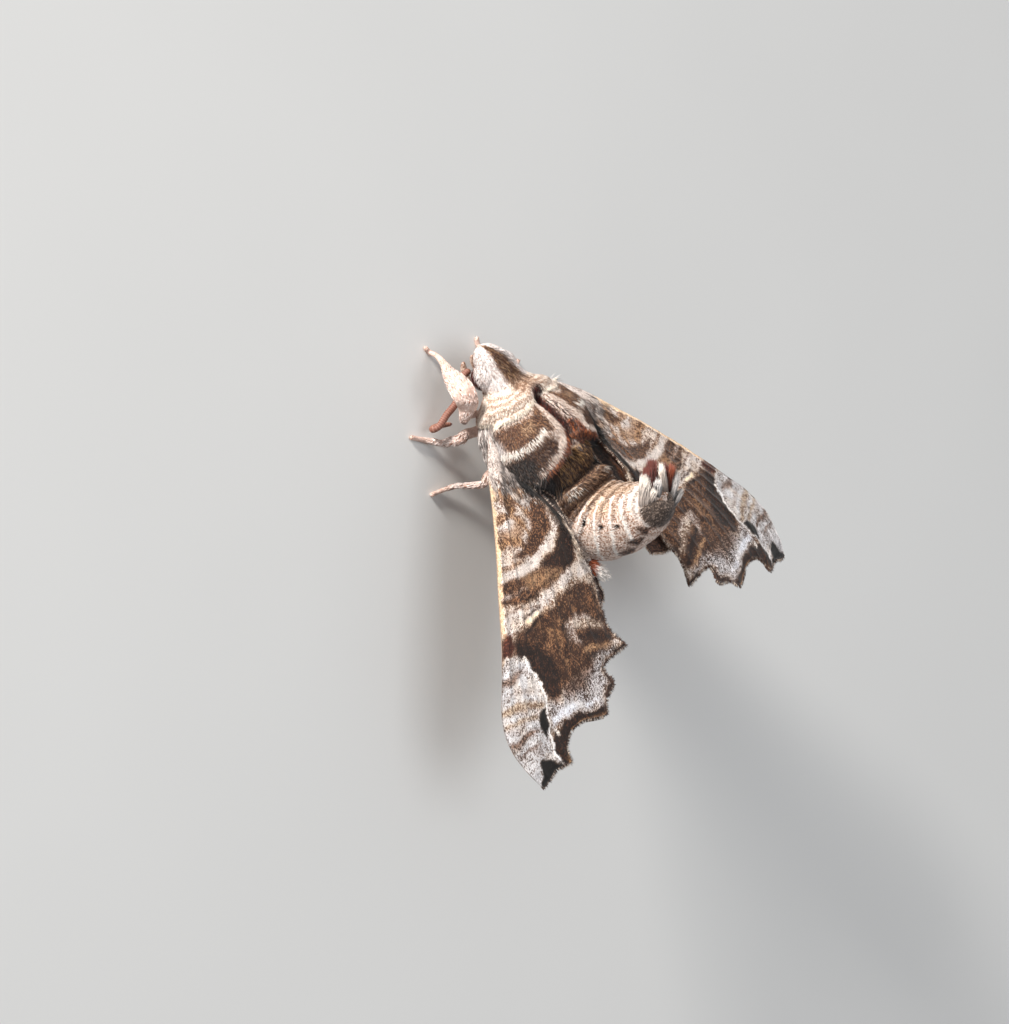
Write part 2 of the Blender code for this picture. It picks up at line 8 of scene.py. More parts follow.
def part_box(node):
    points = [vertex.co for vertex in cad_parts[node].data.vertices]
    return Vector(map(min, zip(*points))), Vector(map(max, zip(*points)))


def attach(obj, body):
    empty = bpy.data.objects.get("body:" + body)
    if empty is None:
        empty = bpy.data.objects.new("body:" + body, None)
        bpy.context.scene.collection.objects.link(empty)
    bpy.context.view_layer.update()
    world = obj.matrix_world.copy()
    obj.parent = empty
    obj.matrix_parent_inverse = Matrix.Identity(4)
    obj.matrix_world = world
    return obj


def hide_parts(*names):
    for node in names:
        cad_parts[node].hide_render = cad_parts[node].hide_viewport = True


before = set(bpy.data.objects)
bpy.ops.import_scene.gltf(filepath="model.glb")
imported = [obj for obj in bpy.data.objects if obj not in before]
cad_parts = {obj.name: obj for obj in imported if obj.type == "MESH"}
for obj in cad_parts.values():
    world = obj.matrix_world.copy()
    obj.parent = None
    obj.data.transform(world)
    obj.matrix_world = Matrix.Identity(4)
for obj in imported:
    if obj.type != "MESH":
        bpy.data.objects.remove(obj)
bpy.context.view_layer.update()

# Everything below is measured in millimetres in the moth's own frame: x to its left, y to the
# tail, z up out of its back. One function at the end of this part turns that into metres.
stance = {"pitch": 9.0, "lift": 5.6, "nodeEye": (1.28, -5.15, -0.5), "eye": (1.1, -5.15, -0.7),
          "eyeRadius": 1.06, "eyeGap": 0.05, "eyeRings": 40, "eyeColumns": 64}

trunk = {
    # markings and outlines count angles in steps of so many degrees
    "degrees": 15,
    # y, half width, top and bottom of the cross section
    "stations": [
        (-7.45, 0.6, -0.3, -1.1), (-7.1, 1.2, 0.35, -1.5), (-6.4, 1.72, 0.95, -1.8),
        (-5.5, 2.1, 1.25, -2.0), (-4.6, 2.2, 1.5, -2.15), (-3.95, 2.3, 1.75, -2.2),
        (-3.4, 2.75, 2.0, -2.5), (-2.7, 3.5, 2.35, -3.1), (-1.9, 3.75, 2.5, -3.5),
        (-1.0, 3.85, 2.9, -3.9), (0.4, 4.05, 3.3, -4.1), (1.8, 3.95, 3.4, -4.0), (3.0, 3.65, 3.3, -3.7),
        (4.0, 3.3, 3.0, -3.3), (5.2, 2.9, 2.6, -2.8)
    ],
    # power of the rounded section, which is a roof over the head and squarer behind it
    "round": [(-7.4, 1.75), (-5.0, 1.75), (-3.2, 2.3), (5.2, 2.3)],
    "ends": (-7.38, 5.2),
    "inset": 0.3,
    "lobeHeight": 0.66,
    "lobeFlare": 0.75,
    "grooveDepth": 0.8,
    "collarLip": 0.2,
    # how far the middle line of the coat lies to the right of the middle, in steps
    "lean": [(-7.4, -0.4), (-4.6, -0.4), (-3.8, 0.2), (-3.0, 0.5), (-2.0, 0.35), (5.2, 0.3)],
    # rear edge of the collar, and outline of a shoulder lobe: y, steps of angle
    "collarEdge": [(-2.75, 0.0), (-2.2, 0.35), (-1.85, 1.2), (-1.7, 2.3), (-1.75, 3.4),
                   (-1.85, 4.5), (-1.99, 6.1), (-2.2, 8.0)],
    "lobe": [(-2.1, 0.6), (-1.0, 0.42), (0.8, 0.36), (1.7, 0.5), (2.35, 1.1), (2.75, 2.2),
             (3.1, 3.3), (3.5, 4.4), (2.6, 5.4), (0.2, 5.8), (-1.9, 5.4), (-2.2, 3.0)],
}

abdomen = {
    "degrees": 20,
    "round": 2.3,
    # y, z, climb of the axis in degrees, half depth, half width
    "stations": [
        (5.0, 0.1, 0, 2.9, 3.1), (6.3, 0.3, 16, 3.15, 3.4), (7.9, 0.9, 36, 3.2, 3.4),
        (9.0, 2.3, 54, 3.1, 3.3), (9.3, 4.0, 68, 2.85, 3.05), (9.25, 5.6, 78, 2.5, 2.75),
        (9.0, 7.1, 86, 2.1, 2.3), (8.75, 8.4, 94, 1.55, 1.7), (8.6, 9.3, 98, 0.7, 0.8)
    ],
    "inset": 0.14,
    "lip": 0.13,
    # stations at which the rings start and end
    "rings": (-0.3, 0.9, 2.0, 2.95, 3.8, 5.05, 5.85, 6.4, 6.9, 8.4),
    # pale lines at the ends of the rings: station, steps of angle from the back
    "lines": [
        [(3.2, 1.0), (2.95, 2.6), (2.8, 4.2)],
        [(4.02, 0.7), (3.8, 1.75), (3.69, 2.9), (3.65, 4.0), (3.5, 6.5)],
        [(5.25, 1.0), (5.06, 2.4), (5.0, 3.5), (4.53, 5.9), (4.4, 7.0)],
        [(5.88, 0.9), (5.95, 2.5), (5.74, 4.0), (5.1, 6.6)],
        [(6.5, 1.3), (6.43, 3.3), (6.25, 4.9), (6.1, 6.2)],
        [(6.76, 0.6), (6.9, 3.3), (6.98, 4.6), (6.98, 5.8)]
    ],
    "dots": [(4.31, 3.03, 0.2), (5.3, 3.58, 0.15), (5.99, 3.93, 0.1)],
    # dark spots low on its sides
    "spots": [[(6.55, 4.9), (6.85, 5.1), (6.95, 6.3), (6.6, 6.6)],
              [(5.9, 5.7), (6.2, 5.7), (6.4, 6.6), (5.95, 6.9)],
              [(5.2, 6.3), (5.65, 6.1), (5.75, 7.2), (5.2, 7.4)]],
}

# A palp: x, y, z, half width and half depth, from under the face forwards
palpStations = [
    (0.66, -4.7, -2.86, 0.15, 0.15), (0.68, -5.3, -2.89, 0.26, 0.26), (0.66, -5.9, -2.85, 0.3, 0.3),
    (0.6, -6.4, -2.7, 0.25, 0.25), (0.54, -6.75, -2.46, 0.12, 0.12)
]

# How the bodies of the flesh melt into one skin, and how much darker it is than its coat, as painted
# shade under the coat
skinMelt = {"voxel": 0.11, "passes": 3, "shade": 0.8, "tailFrom": 4.9}

# The wings' flat frame: its hinge, and its directions along, across and out of the wing
wingFrame = {
    "hinge": np.array((6.056, 0.0, 0.0)),
    "along": np.array((0.453, 0.891, 0.027)),
    "across": np.array((-0.872, 0.437, 0.221)),
    "out": np.array((0.185, -0.124, 0.975)),
    "span": 24.75,
    "arch": 1.08,
    "bodyLift": 0.9,
    "clear": 0.3,
    "evening": 16,
    "rowsPerStep": 8,
    "columnsPerStep": 7,
}

foreWing = {
    "rows": 24,
    "drop": 0.0,
    "halfThickness": 0.1,
    "veinHeight": 0.13,
    "veinWidth": 0.16,
    "leading": [(-2.3, 0.8), (0.3, 0.0), (3.5, -0.45), (7.0, -0.95), (10.5, -1.5), (13.5, -1.85),
                (16.5, -2.3), (19.3, -2.75), (21.5, -2.4), (23.4, -1.25), (24.75, 0.0)],
    "outer": [(24.75, 0.0), (24.2, 0.7), (23.6, 1.25), (23.35, 1.9), (23.15, 2.7), (22.2, 2.45),
              (21.3, 2.7), (20.6, 3.35), (20.2, 4.4), (20.15, 5.5), (19.95, 6.45), (18.9, 6.65),
              (17.75, 7.6), (17.0, 7.0), (16.4, 6.9), (16.0, 7.3), (15.6, 8.1), (15.0, 9.5)],
    "trailing": [(-0.6, 1.2), (1.1, 2.3), (2.7, 3.7), (4.5, 4.8), (6.3, 5.9), (9.0, 7.2),
                 (11.5, 7.6), (13.6, 8.1), (15.0, 9.5)],
    "veins": {1: 0.3, 2.5: 0.55, 4: 0.0, 5.6: 0.5, 7: 0.45, 8.6: 0.5, 10: 0.5, 12: 0.0,
              14: 0.35, 16: 0.0},
    "cell": (4, 12),
    "fringeDark": 0.72,
    "fringe": ((226, 206, 188), (84, 56, 42)),
    "rootHair": 0.5,
    # along the wing: its inner margin, and how much further the marks there reach
    "innerMarks": [(-1.0, 1.4, 1.4), (1.1, 2.3, 1.7), (2.7, 3.7, 1.7), (4.5, 4.8, 1.3),
                   (6.3, 5.9, 0.6), (8.5, 7.0, 0.1), (9.0, 7.2, 0.0)],
}

hindWing = {
    "rows": 14,
    "drop": 0.75,
    "halfThickness": 0.09,
    "veinHeight": 0.1,
    "veinWidth": 0.16,
    "leading": [(0.0, 1.1), (4.0, 1.0), (9.0, 1.0), (14.3, 2.2)],
    "outer": [(14.3, 2.2), (14.55, 3.1), (14.2, 3.9), (14.1, 4.8), (13.5, 5.6), (13.3, 6.6),
              (12.6, 7.3), (12.1, 7.9), (11.0, 8.7)],
    "trailing": [(1.4, 3.7), (3.8, 5.8), (6.5, 7.0), (8.8, 8.1), (9.8, 8.3), (11.0, 8.7)],
    "veins": {2: 0.4, 4: 0.4, 6: 0.25},
    "cell": (2, 4),
    "fringeDark": 0.4,
    "fringe": ((226, 200, 178), (110, 72, 52)),
    "rootHair": 0.3,
}

# Legs and feelers: x, y, z from the floor, half width and half depth, from the body out
limbs = {
    "foreleg_left": [
        (2.5, -2.55, 1.9, 0.4, 0.38), (3.85, -2.9, 3.15, 0.46, 0.38), (3.8, -4.0, 4.0, 0.85, 0.45),
        (3.85, -4.8, 4.25, 1.0, 0.45), (3.65, -5.7, 3.8, 0.9, 0.42), (3.15, -6.5, 2.85, 0.58, 0.34),
        (2.3, -7.0, 1.8, 0.38, 0.3), (1.8, -7.5, 0.9, 0.3, 0.28), (1.7, -7.85, 0.2, 0.28, 0.28),
        (1.95, -8.4, 0.2, 0.28, 0.28)
    ],
    "midleg_left": [
        (3.0, -1.2, 1.7, 0.5, 0.45), (3.9, -1.3, 2.0, 0.5, 0.45), (4.35, -1.35, 1.4, 0.42, 0.4),
        (4.7, -1.45, 0.8, 0.34, 0.34), (5.5, -2.1, 0.38, 0.3, 0.3), (6.4, -2.8, 0.2, 0.28, 0.28),
        (7.0, -3.25, 0.2, 0.28, 0.28)
    ],
    "hindleg_left": [
        (2.7, 2.6, 1.9, 0.42, 0.4), (3.4, 2.9, 1.9, 0.38, 0.36), (4.2, 2.6, 1.1, 0.3, 0.3),
        (5.2, 2.1, 0.6, 0.27, 0.27), (6.7, 1.75, 0.2, 0.26, 0.26), (7.4, 1.6, 0.2, 0.28, 0.28)
    ],
    "foreleg_right": [
        (-2.4, -2.7, 2.0, 0.42, 0.4), (-3.1, -2.9, 2.5, 0.5, 0.42), (-3.5, -3.6, 2.7, 0.52, 0.42),
        (-3.6, -4.3, 2.4, 0.5, 0.42), (-3.5, -4.9, 1.8, 0.44, 0.36), (-3.4, -5.3, 1.0, 0.34, 0.3),
        (-3.45, -5.7, 0.2, 0.28, 0.27), (-3.6, -6.4, 0.2, 0.28, 0.28)
    ],
    "midleg_right": [
        (-3.0, -1.2, 1.7, 0.5, 0.45), (-3.9, -1.2, 2.0, 0.5, 0.45), (-4.5, -1.2, 1.3, 0.4, 0.38),
        (-5.1, -1.5, 0.7, 0.32, 0.32), (-6.2, -2.2, 0.2, 0.28, 0.28), (-6.9, -2.7, 0.2, 0.28, 0.28)
    ],
    "hindleg_right": [
        (-2.7, 2.6, 1.9, 0.42, 0.4), (-3.7, 3.6, 2.2, 0.4, 0.38), (-4.5, 5.0, 2.0, 0.36, 0.34),
        (-5.1, 6.6, 1.1, 0.3, 0.3), (-5.6, 8.2, 0.45, 0.27, 0.27), (-6.0, 9.8, 0.2, 0.26, 0.26),
        (-6.2, 10.6, 0.2, 0.28, 0.28)
    ],
    "antenna_left": [
        (2.25, -5.5, 2.7, 0.31, 0.31), (2.4, -4.5, 2.35, 0.31, 0.31), (3.1, -3.9, 2.1, 0.31, 0.31),
        (4.1, -3.55, 1.85, 0.31, 0.31), (5.0, -3.1, 1.6, 0.3, 0.3), (5.4, -3.0, 1.25, 0.29, 0.29),
        (5.15, -2.95, 0.85, 0.28, 0.28), (4.5, -2.8, 0.65, 0.27, 0.27), (3.8, -2.55, 0.62, 0.25, 0.25),
        (3.0, -2.2, 0.75, 0.18, 0.18)
    ],
    "antenna_right": [
        (-2.25, -5.5, 2.6, 0.31, 0.31), (-2.4, -4.6, 1.8, 0.31, 0.31), (-3.0, -3.7, 1.25, 0.31, 0.31),
        (-4.1, -2.9, 1.4, 0.31, 0.31), (-4.9, -2.0, 2.1, 0.3, 0.3), (-5.3, -0.6, 2.8, 0.3, 0.3),
        (-5.4, 1.0, 2.9, 0.28, 0.28), (-5.3, 2.3, 2.7, 0.26, 0.26), (-5.0, 3.4, 2.4, 0.18, 0.18)
    ],
}

# The camera: its upward and backward directions, and where the moth's middle lies from the middle
# of its view. The lamps: how far they stand from the moth along the camera's directions, size,
# power and colour
view = {
    "up": (-0.4939, -0.8514, 0.1764),
    "back": (0.6478, -0.225, 0.7278),
    "offset": (1.998, 6.548),
    "distance": 250.0,
    "focal": 3250.0,
    "height": 1024.0,
    "sensor": 36,
    "lit": (0.0, 3.0, 2.0),
    "lamps": {"keyLamp": ((-0.2, 0.3, 0.28), 0.09, 4.3, (1.0, 0.97, 0.93)),
              "fillLamp": ((0.32, 0.02, 0.3), 0.3, 0.6, (0.93, 0.96, 1.0))},
    "lowestLamp": 0.05,
    "air": (0.9, 0.9, 0.92, 1),
    "airStrength": 0.45,
    "floorHalf": 3,
}


# Turn a point of the moth's frame on to the floor's directions: pitch about x, then lift
def pitched(points):
    points = np.asarray(points, float)
    angle = math.radians(stance["pitch"])
    turned = points.copy()
    turned[..., 1] = math.cos(angle) * points[..., 1] - math.sin(angle) * points[..., 2]
    turned[..., 2] = math.sin(angle) * points[..., 1] + math.cos(angle) * points[..., 2]
    turned[..., 2] += stance["lift"]
    return turned


low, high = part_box("eye_left")
eyeMiddle = (np.array(low) + np.array(high)) / 2 * 1000
floorShift = eyeMiddle - pitched(np.array(stance["nodeEye"]))


# Metres in the scene, from the moth's own frame
def toWorld(points):
    return (pitched(points) + floorShift) / 1000


# Metres in the scene, from millimetres over the floor
def floorToWorld(points):
    return (np.asarray(points, float) + floorShift) / 1000


# The moth's own frame, from millimetres over the floor: pitched, the other way round
def floorToBody(points):
    points = np.asarray(points, float)
    angle = math.radians(stance["pitch"])
    y = points[..., 1]
    z = points[..., 2] - stance["lift"]
    return np.stack([points[..., 0], math.cos(angle) * y + math.sin(angle) * z,
                     math.cos(angle) * z - math.sin(angle) * y], axis=-1)


def unit(vectors):
    return vectors / np.maximum(np.linalg.norm(vectors, axis=-1, keepdims=True), 1e-12)


# Linear colour of a screen colour given from 0 to 255
def linear(red, green, blue):
    screen = np.array([red, green, blue], float) / 255
    return np.where(screen < 0.04045, screen / 12.92, ((screen + 0.055) / 1.055) ** 2.4)


# 0 up to start, 1 from stop, and a smooth rise between them
def ease(value, start, stop):
    share = np.clip((value - start) / (stop - start), 0, 1)
    return share * share * (3 - 2 * share)


# Smooth value noise from a seeded grid: each point blends the four grid values round it
def grain(x, y, seed):
    values = np.random.default_rng(seed).random((64, 64))
    column, row = np.floor(x).astype(int), np.floor(y).astype(int)
    u, v = ease(x - column, 0, 1), ease(y - row, 0, 1)
    here, below = (values[line % 64, column % 64] * (1 - u) + values[line % 64, (column + 1) % 64] * u
                   for line in (row, row + 1))
    return here * (1 - v) + below * v


# Noise of one size, as far below nought as above it
def wobble(x, y, seed, size):
    return size * (grain(x, y, seed) - 0.5)


# One random number for each of count: from low on over a span, or about nought over a width
def between(random, count, low, span):
    return low + span * random.random(count)


def about(random, count, width):
    return (random.random(count) - 0.5) * width


# A table's column read at places of another, the first unless named
def readAt(table, at, column=1, key=0):
    table = np.array(table)
    return np.interp(at, table[:, key], table[:, column])


# Smooth curve between start and stop: half their cubic through the points before and after
def curved(before, start, stop, after, u):
    bend = 2 * before - 5 * start + 4 * stop - after
    twist = 3 * start - before - 3 * stop + after
    return start + 0.5 * u * (stop - before + u * (bend + u * twist))


# Points along a smooth curve through the given ones, evenly spaced by length
def smoothed(points, count):
    points = np.array(points, float)
    ends = np.vstack([2 * points[0] - points[1], points, 2 * points[-1] - points[-2]])
    u = np.linspace(0, 1, 12, endpoint=False)[:, None]
    dense = [curved(*ends[k:k + 4], u) for k in range(len(points) - 1)]
    dense = np.vstack(dense + [points[-1:]])
    steps = np.linalg.norm(np.diff(dense[:, :3], axis=0), axis=1)
    length = np.concatenate([[0], np.cumsum(steps)])
    at = np.linspace(0, length[-1], count)
    return np.stack([np.interp(at, length, column) for column in dense.T], axis=1)


# A grid with more rows: a smooth curve runs down each column through the given rows
def refined(grid, times):
    ends = np.concatenate([2 * grid[:1] - grid[1:2], grid, 2 * grid[-1:] - grid[-2:-1]])
    made = [curved(ends[:-3], ends[1:-2], ends[2:-1], ends[3:], u)
            for u in np.linspace(0, 1, times, endpoint=False)]
    fine = np.stack(made, axis=1).reshape(-1, *grid.shape[1:])
    return np.concatenate([fine, grid[-1:]])


# Distance from points (p, q) to a path of straight runs, and how far along it they are
def reachOf(p, q, path):
    path = np.array(path, float)
    nearest = np.full(np.shape(p), 1e9)
    share = np.zeros(np.shape(p))
    for k in range(len(path) - 1):
        run = path[k + 1] - path[k]
        t = ((p - path[k, 0]) * run[0] + (q - path[k, 1]) * run[1]) / (run @ run)
        t = np.clip(t, 0, 1)
        away = np.hypot(p - path[k, 0] - t * run[0], q - path[k, 1] - t * run[1])
        closer = away < nearest
        nearest = np.where(closer, away, nearest)
        share = np.where(closer, (k + t) / (len(path) - 1), share)
    return nearest, share


# Inside share of a closed outline, 0.5 on its edge, over a soft width
def patchOf(p, q, outline, soft):
    outline = np.array(outline, float)
    closed = np.vstack([outline, outline[:1]])
    away = reachOf(p, q, closed)[0]
    inside = np.zeros(np.shape(p), bool)
    for k in range(len(outline)):
        here, there = closed[k], closed[k + 1]
        crosses = (here[1] > q) != (there[1] > q)
        slope = (there[0] - here[0]) / (there[1] - here[1] if there[1] != here[1] else 1e-9)
        inside ^= crosses & (p < here[0] + slope * (q - here[1]))
    signed = np.where(inside, away, -away)
    return ease(signed, -soft, soft)


# Share of a stroke of given half widths along a path
def strokeOf(p, q, path, widths, soft):
    away, share = reachOf(p, q, path)
    widths = np.atleast_1d(np.array(widths, float))
    wide = np.interp(share, np.linspace(0, 1, len(widths)), widths)
    return 1 - ease(away, wide - soft, wide + soft)


# Markings as three fields: the colour of light scales, of dark scales, and the share of dark
class Markings:
    def __init__(self, p, q, light, dark, share):
        self.p = p
        self.q = q
        self.light = np.ones(np.shape(p) + (1,)) * linear(*light)
        self.dark = np.ones(np.shape(p) + (1,)) * linear(*dark)
        self.share = np.full(np.shape(p), float(share))

    def lay(self, cover, light=None, dark=None, share=None):
        if light is not None:
            self.light += cover[..., None] * (linear(*light) - self.light)
        if dark is not None:
            self.dark += cover[..., None] * (linear(*dark) - self.dark)
        if share is not None:
            self.share += cover * (share - self.share)

    def stroke(self, path, widths, soft, strength=1.0, **look):
        self.lay(strokeOf(self.p, self.q, path, widths, soft) * strength, **look)

    def patch(self, outline, soft, strength=1.0, **look):
        self.lay(patchOf(self.p, self.q, outline, soft) * strength, **look)


# Scale colours that several marks of the forewing have
pale = dict(light=(210, 198, 190), dark=(112, 86, 72))
tawny = dict(light=(170, 130, 94), dark=(88, 58, 40))
brown = dict(light=(126, 88, 62), dark=(52, 32, 22))
deepBrown = dict(light=(78, 48, 33), dark=(31, 19, 14))
black = dict(light=(40, 31, 28), dark=(13, 10, 9))
rimTan = dict(light=(166, 130, 92), dark=(96, 66, 44))
tipTan = dict(light=(186, 158, 124), dark=(104, 76, 54))


# Base of the forewing: wavy stripes, by a sine across it
def baseMarks(made):
    p, q = made.p, made.q
    waves = 0.5 + 0.5 * np.sin((p * 0.9 - q * 0.35 + 0.5 * np.sin(q * 1.7)) * 3.6)
    base = patchOf(p, q, [(0.5, -1), (8.6, -1.2), (7.6, 2.6), (4.6, 5.4), (2.0, 4.0), (0.6, 1.2)], 0.5)
    made.lay(base, share=0.34, **pale)
    made.lay(base * ease(waves, 0.55, 0.95) * 0.85, share=0.66, **tawny)
    made.patch([(2.4, 0.2), (3.2, 0.4), (4.2, 0.9), (4.0, 1.6), (3.0, 1.7), (2.4, 1.1)], 0.25,
               share=0.7, **tawny)
    made.patch([(5.3, -0.7), (6.9, -0.7), (6.3, 1.2), (5.0, 2.4), (4.2, 2.3), (5.2, 0.8)], 0.3,
               share=0.6, strength=0.8, **tawny)
    made.patch([(3.0, 3.7), (4.3, 2.9), (5.6, 2.6), (6.7, 1.4), (7.3, 0.2), (7.6, 1.2), (7.0, 3.0),
                (5.6, 4.4), (4.6, 5.0), (3.5, 4.8)], 0.25, share=0.72, **brown)


# The two pale bands of the forewing, and what lies before, between and behind them
def bandMarks(made):
    # first pale band
    made.stroke([(9.1, -1.3), (8.7, 0.4), (7.9, 2.2), (6.9, 3.6), (5.7, 4.7), (4.8, 5.3)],
                [0.42, 0.4, 0.38, 0.3, 0.2, 0.1], 0.16, share=0.12, **pale)
    # brown band behind it, chocolate towards the inner margin
    made.patch([
        (9.3, -1.5), (10.9, -1.6), (10.9, 0.6), (10.2, 2.4), (9.4, 4.0), (8.8, 5.2), (8.0, 5.9),
        (6.4, 6.1), (5.2, 5.6), (6.9, 4.3), (8.2, 2.8), (9.1, 0.6)
    ], 0.2, share=0.72, **brown)
    made.stroke([(10.3, -1.4), (10.0, 0.2), (9.8, 1.2)], [0.2, 0.18, 0.08], 0.12, share=0.3,
                strength=0.7, **pale)
    made.patch([(9.0, 0.8), (9.9, 0.9), (10.0, 2.4), (9.3, 4.0), (8.7, 4.8), (8.3, 3.9)], 0.3,
               share=0.5, light=(150, 116, 86), dark=(84, 58, 42))
    made.patch([(8.4, 3.4), (8.8, 4.6), (8.4, 5.6), (6.4, 6.3), (4.2, 6.0), (5.0, 5.3),
                (6.2, 4.9), (7.3, 4.0), (8.2, 2.6)], 0.26, share=0.88, **deepBrown)
    made.patch([(9.2, -1.5), (10.2, -1.6), (10.2, 0.2), (9.5, 1.2), (9.0, 0.8)], 0.2, share=0.8,
               strength=0.8, **brown)
    # black root of the inner margin, partly black scales and partly painted shadow between the wing and
    # the body, and the grey hair in front of it
    made.patch([(0.9, 2.5), (1.8, 3.2), (2.8, 4.3), (4.0, 5.1), (5.2, 5.4), (5.4, 6.0), (3.4, 6.0),
                (1.8, 5.3), (0.6, 3.8)], 0.35, share=0.85, **black)
    made.patch([(-0.6, 0.7), (0.5, 1.2), (1.6, 2.6), (1.4, 4.0), (-1.0, 3.0)], 0.4,
               light=(150, 138, 132), dark=(62, 52, 48), share=0.6)
    # second pale band, parted by a brown line
    made.stroke([
        (12.9, -1.7), (12.0, -0.3), (11.5, 1.0), (10.9, 2.2), (10.1, 3.4), (9.4, 4.6), (8.9, 5.8),
        (8.6, 6.8)
    ], [0.75, 0.72, 0.55, 0.42, 0.32, 0.4, 0.5, 0.55], 0.2, share=0.16, **pale)
    made.stroke([(11.3, 1.6), (11.3, 0.3), (11.8, -1.2)], 0.14, 0.12, share=0.55, strength=0.6,
                **brown)


# Brown middle of the forewing
def middleMarks(made, a, b):
    made.patch([
        (13.2, -0.6), (14.8, -1.1), (15.4, 0.4), (17.0, 1.1), (18.4, 1.4), (18.6, 2.2), (17.4, 2.9),
        (16.8, 4.2), (16.2, 5.6), (15.0, 7.6), (14.0, 8.6), (12.4, 7.9), (9.8, 7.1), (10.0, 5.6),
        (10.4, 4.3), (11.4, 3.0), (12.2, 1.6), (12.9, 0.4)
    ], 0.28, share=0.8, **brown)
    blotch = [(10.6, 4.2), (12.6, 1.4), (15.5, 2.2), (17.2, 3.2), (16.2, 5.0), (14.0, 4.6), (12.0, 6.5)]
    mottle = patchOf(made.p, made.q, blotch, 0.7) * ease(grain(a * 1.6, b * 2.0, 15), 0.45, 0.8)
    made.lay(mottle, share=0.6, light=(138, 102, 72), dark=(74, 48, 33))
    zigzag = [(12.4, 3.4), (13.6, 3.0), (14.3, 3.4), (15.0, 2.9), (15.7, 3.5), (16.6, 3.3)]
    made.stroke(zigzag, [0.06, 0.1, 0.1, 0.12, 0.1, 0.06], 0.14, share=0.4, strength=0.5,
                light=(158, 122, 90), dark=(100, 70, 50))
    made.stroke([(along, aside + 0.5) for along, aside in zigzag], 0.1, 0.14, share=0.88, strength=0.75,
                **deepBrown)
    made.patch([(13.6, -0.9), (14.9, -1.0), (15.6, 0.3), (17.2, 1.2), (18.3, 1.7), (17.8, 2.6),
                (16.4, 2.7), (15.0, 2.0), (14.2, 0.9)], 0.25, share=0.84, **deepBrown)
    made.patch([(13.0, -1.75), (14.9, -2.2), (14.8, -1.2), (14.1, -0.9), (13.3, -1.1)], 0.16,
               light=(110, 60, 42), dark=(58, 28, 20), share=0.85)
    # dark rings and cream middle of the round spot
    made.stroke([(12.1, 1.9), (12.7, 1.1), (13.3, 0.3)], [0.1, 0.16, 0.1], 0.1, share=0.9, **deepBrown)
    made.stroke([(11.45, 1.7), (11.75, 0.8), (12.2, 0.3)], [0.06, 0.1, 0.06], 0.08, share=0.85,
                strength=0.8, **deepBrown)
    made.stroke([(11.9, 1.5), (12.3, 0.7)], [0.13, 0.17], 0.06, light=(246, 228, 196),
                dark=(226, 200, 164), share=0.1)
    # pale crescents near the inner margin
    made.stroke([(12.5, 6.2), (12.45, 5.1), (13.0, 4.4), (13.8, 4.3), (14.3, 4.9)],
                [0.2, 0.34, 0.36, 0.3, 0.14], 0.26, share=0.42, strength=0.85, **pale)
    made.stroke([(13.0, 5.0), (12.9, 6.0), (13.2, 7.4)], [0.3, 0.4, 0.26], 0.26, share=0.5,
                strength=0.75, light=(212, 196, 180), dark=(110, 84, 66))
    made.stroke([(13.95, 5.0), (14.0, 6.5), (14.2, 8.2)], [0.16, 0.2, 0.24], 0.14, share=0.88,
                **deepBrown)
    made.stroke([(14.9, 5.2), (14.9, 6.6), (14.8, 8.3)], [0.2, 0.26, 0.2], 0.18, share=0.35,
                strength=0.8, light=(178, 140, 104), dark=(100, 68, 47))
    made.stroke([(15.6, 5.6), (15.4, 7.0), (15.2, 8.4)], [0.14, 0.14, 0.1], 0.12, share=0.8,
                strength=0.8, **deepBrown)


# Salt and pepper outer field, whitest towards the dark margin
def outerMarks(made):
    made.patch([
        (18.6, 1.2), (20.6, 1.3), (20.2, 2.4), (19.7, 3.6), (19.7, 6.2), (18.4, 6.6), (17.6, 7.3),
        (16.6, 6.7), (15.6, 7.2), (15.2, 8.6), (14.6, 8.6), (15.8, 6.2), (16.8, 4.6), (17.4, 3.2),
        (18.4, 2.4)
    ], 0.45, share=0.46, light=(202, 195, 194), dark=(66, 48, 40))
    made.patch([(17.2, 2.6), (18.3, 3.0), (18.2, 4.6), (17.2, 5.4), (16.0, 6.0), (15.6, 4.6),
                (16.4, 3.4)], 0.5, share=0.72, strength=0.8, **brown)
    made.stroke([
        (20.0, 1.5), (19.5, 2.6), (19.15, 3.8), (19.1, 5.0), (18.8, 5.8)
    ], [0.32, 0.32, 0.24, 0.2, 0.12], 0.18, share=0.16, light=(222, 222, 228), dark=(140, 128, 126))
    # dark outer margin with its brown rim
    made.patch([
        (20.6, 1.8), (21.4, 1.2), (22.8, 1.5), (23.5, 2.0), (23.3, 2.9), (22.2, 2.6), (21.3, 2.9),
        (20.7, 3.5), (20.35, 4.4), (20.3, 5.5), (20.1, 6.6), (19.0, 6.8), (19.4, 6.2), (19.75, 5.4),
        (19.65, 4.2), (19.9, 3.0)
    ], 0.14, share=0.82, **deepBrown)
    made.stroke([(20.75, 3.25), (20.25, 4.3), (20.2, 5.5), (20.0, 6.5)], 0.1, 0.08, share=0.6,
                strength=0.6, **rimTan)
    made.stroke([(23.2, 2.7), (22.2, 2.5), (21.3, 2.75)], 0.1, 0.08, share=0.6,
                strength=0.6, **rimTan)
    made.stroke([(20.7, 1.75), (21.0, 1.9)], 0.12, 0.08, light=(238, 230, 224), share=0.05)
    made.stroke([(19.0, 6.7), (17.75, 7.6), (17.0, 7.05), (16.4, 6.95), (16.0, 7.35), (15.7, 8.1),
                 (15.0, 9.6)], [0.2, 0.26, 0.16, 0.12, 0.16, 0.2, 0.3], 0.12, share=0.8, **deepBrown)
    made.stroke([(14.7, 8.4), (14.75, 9.1)], [0.2, 0.12], 0.12, share=0.3, **pale)


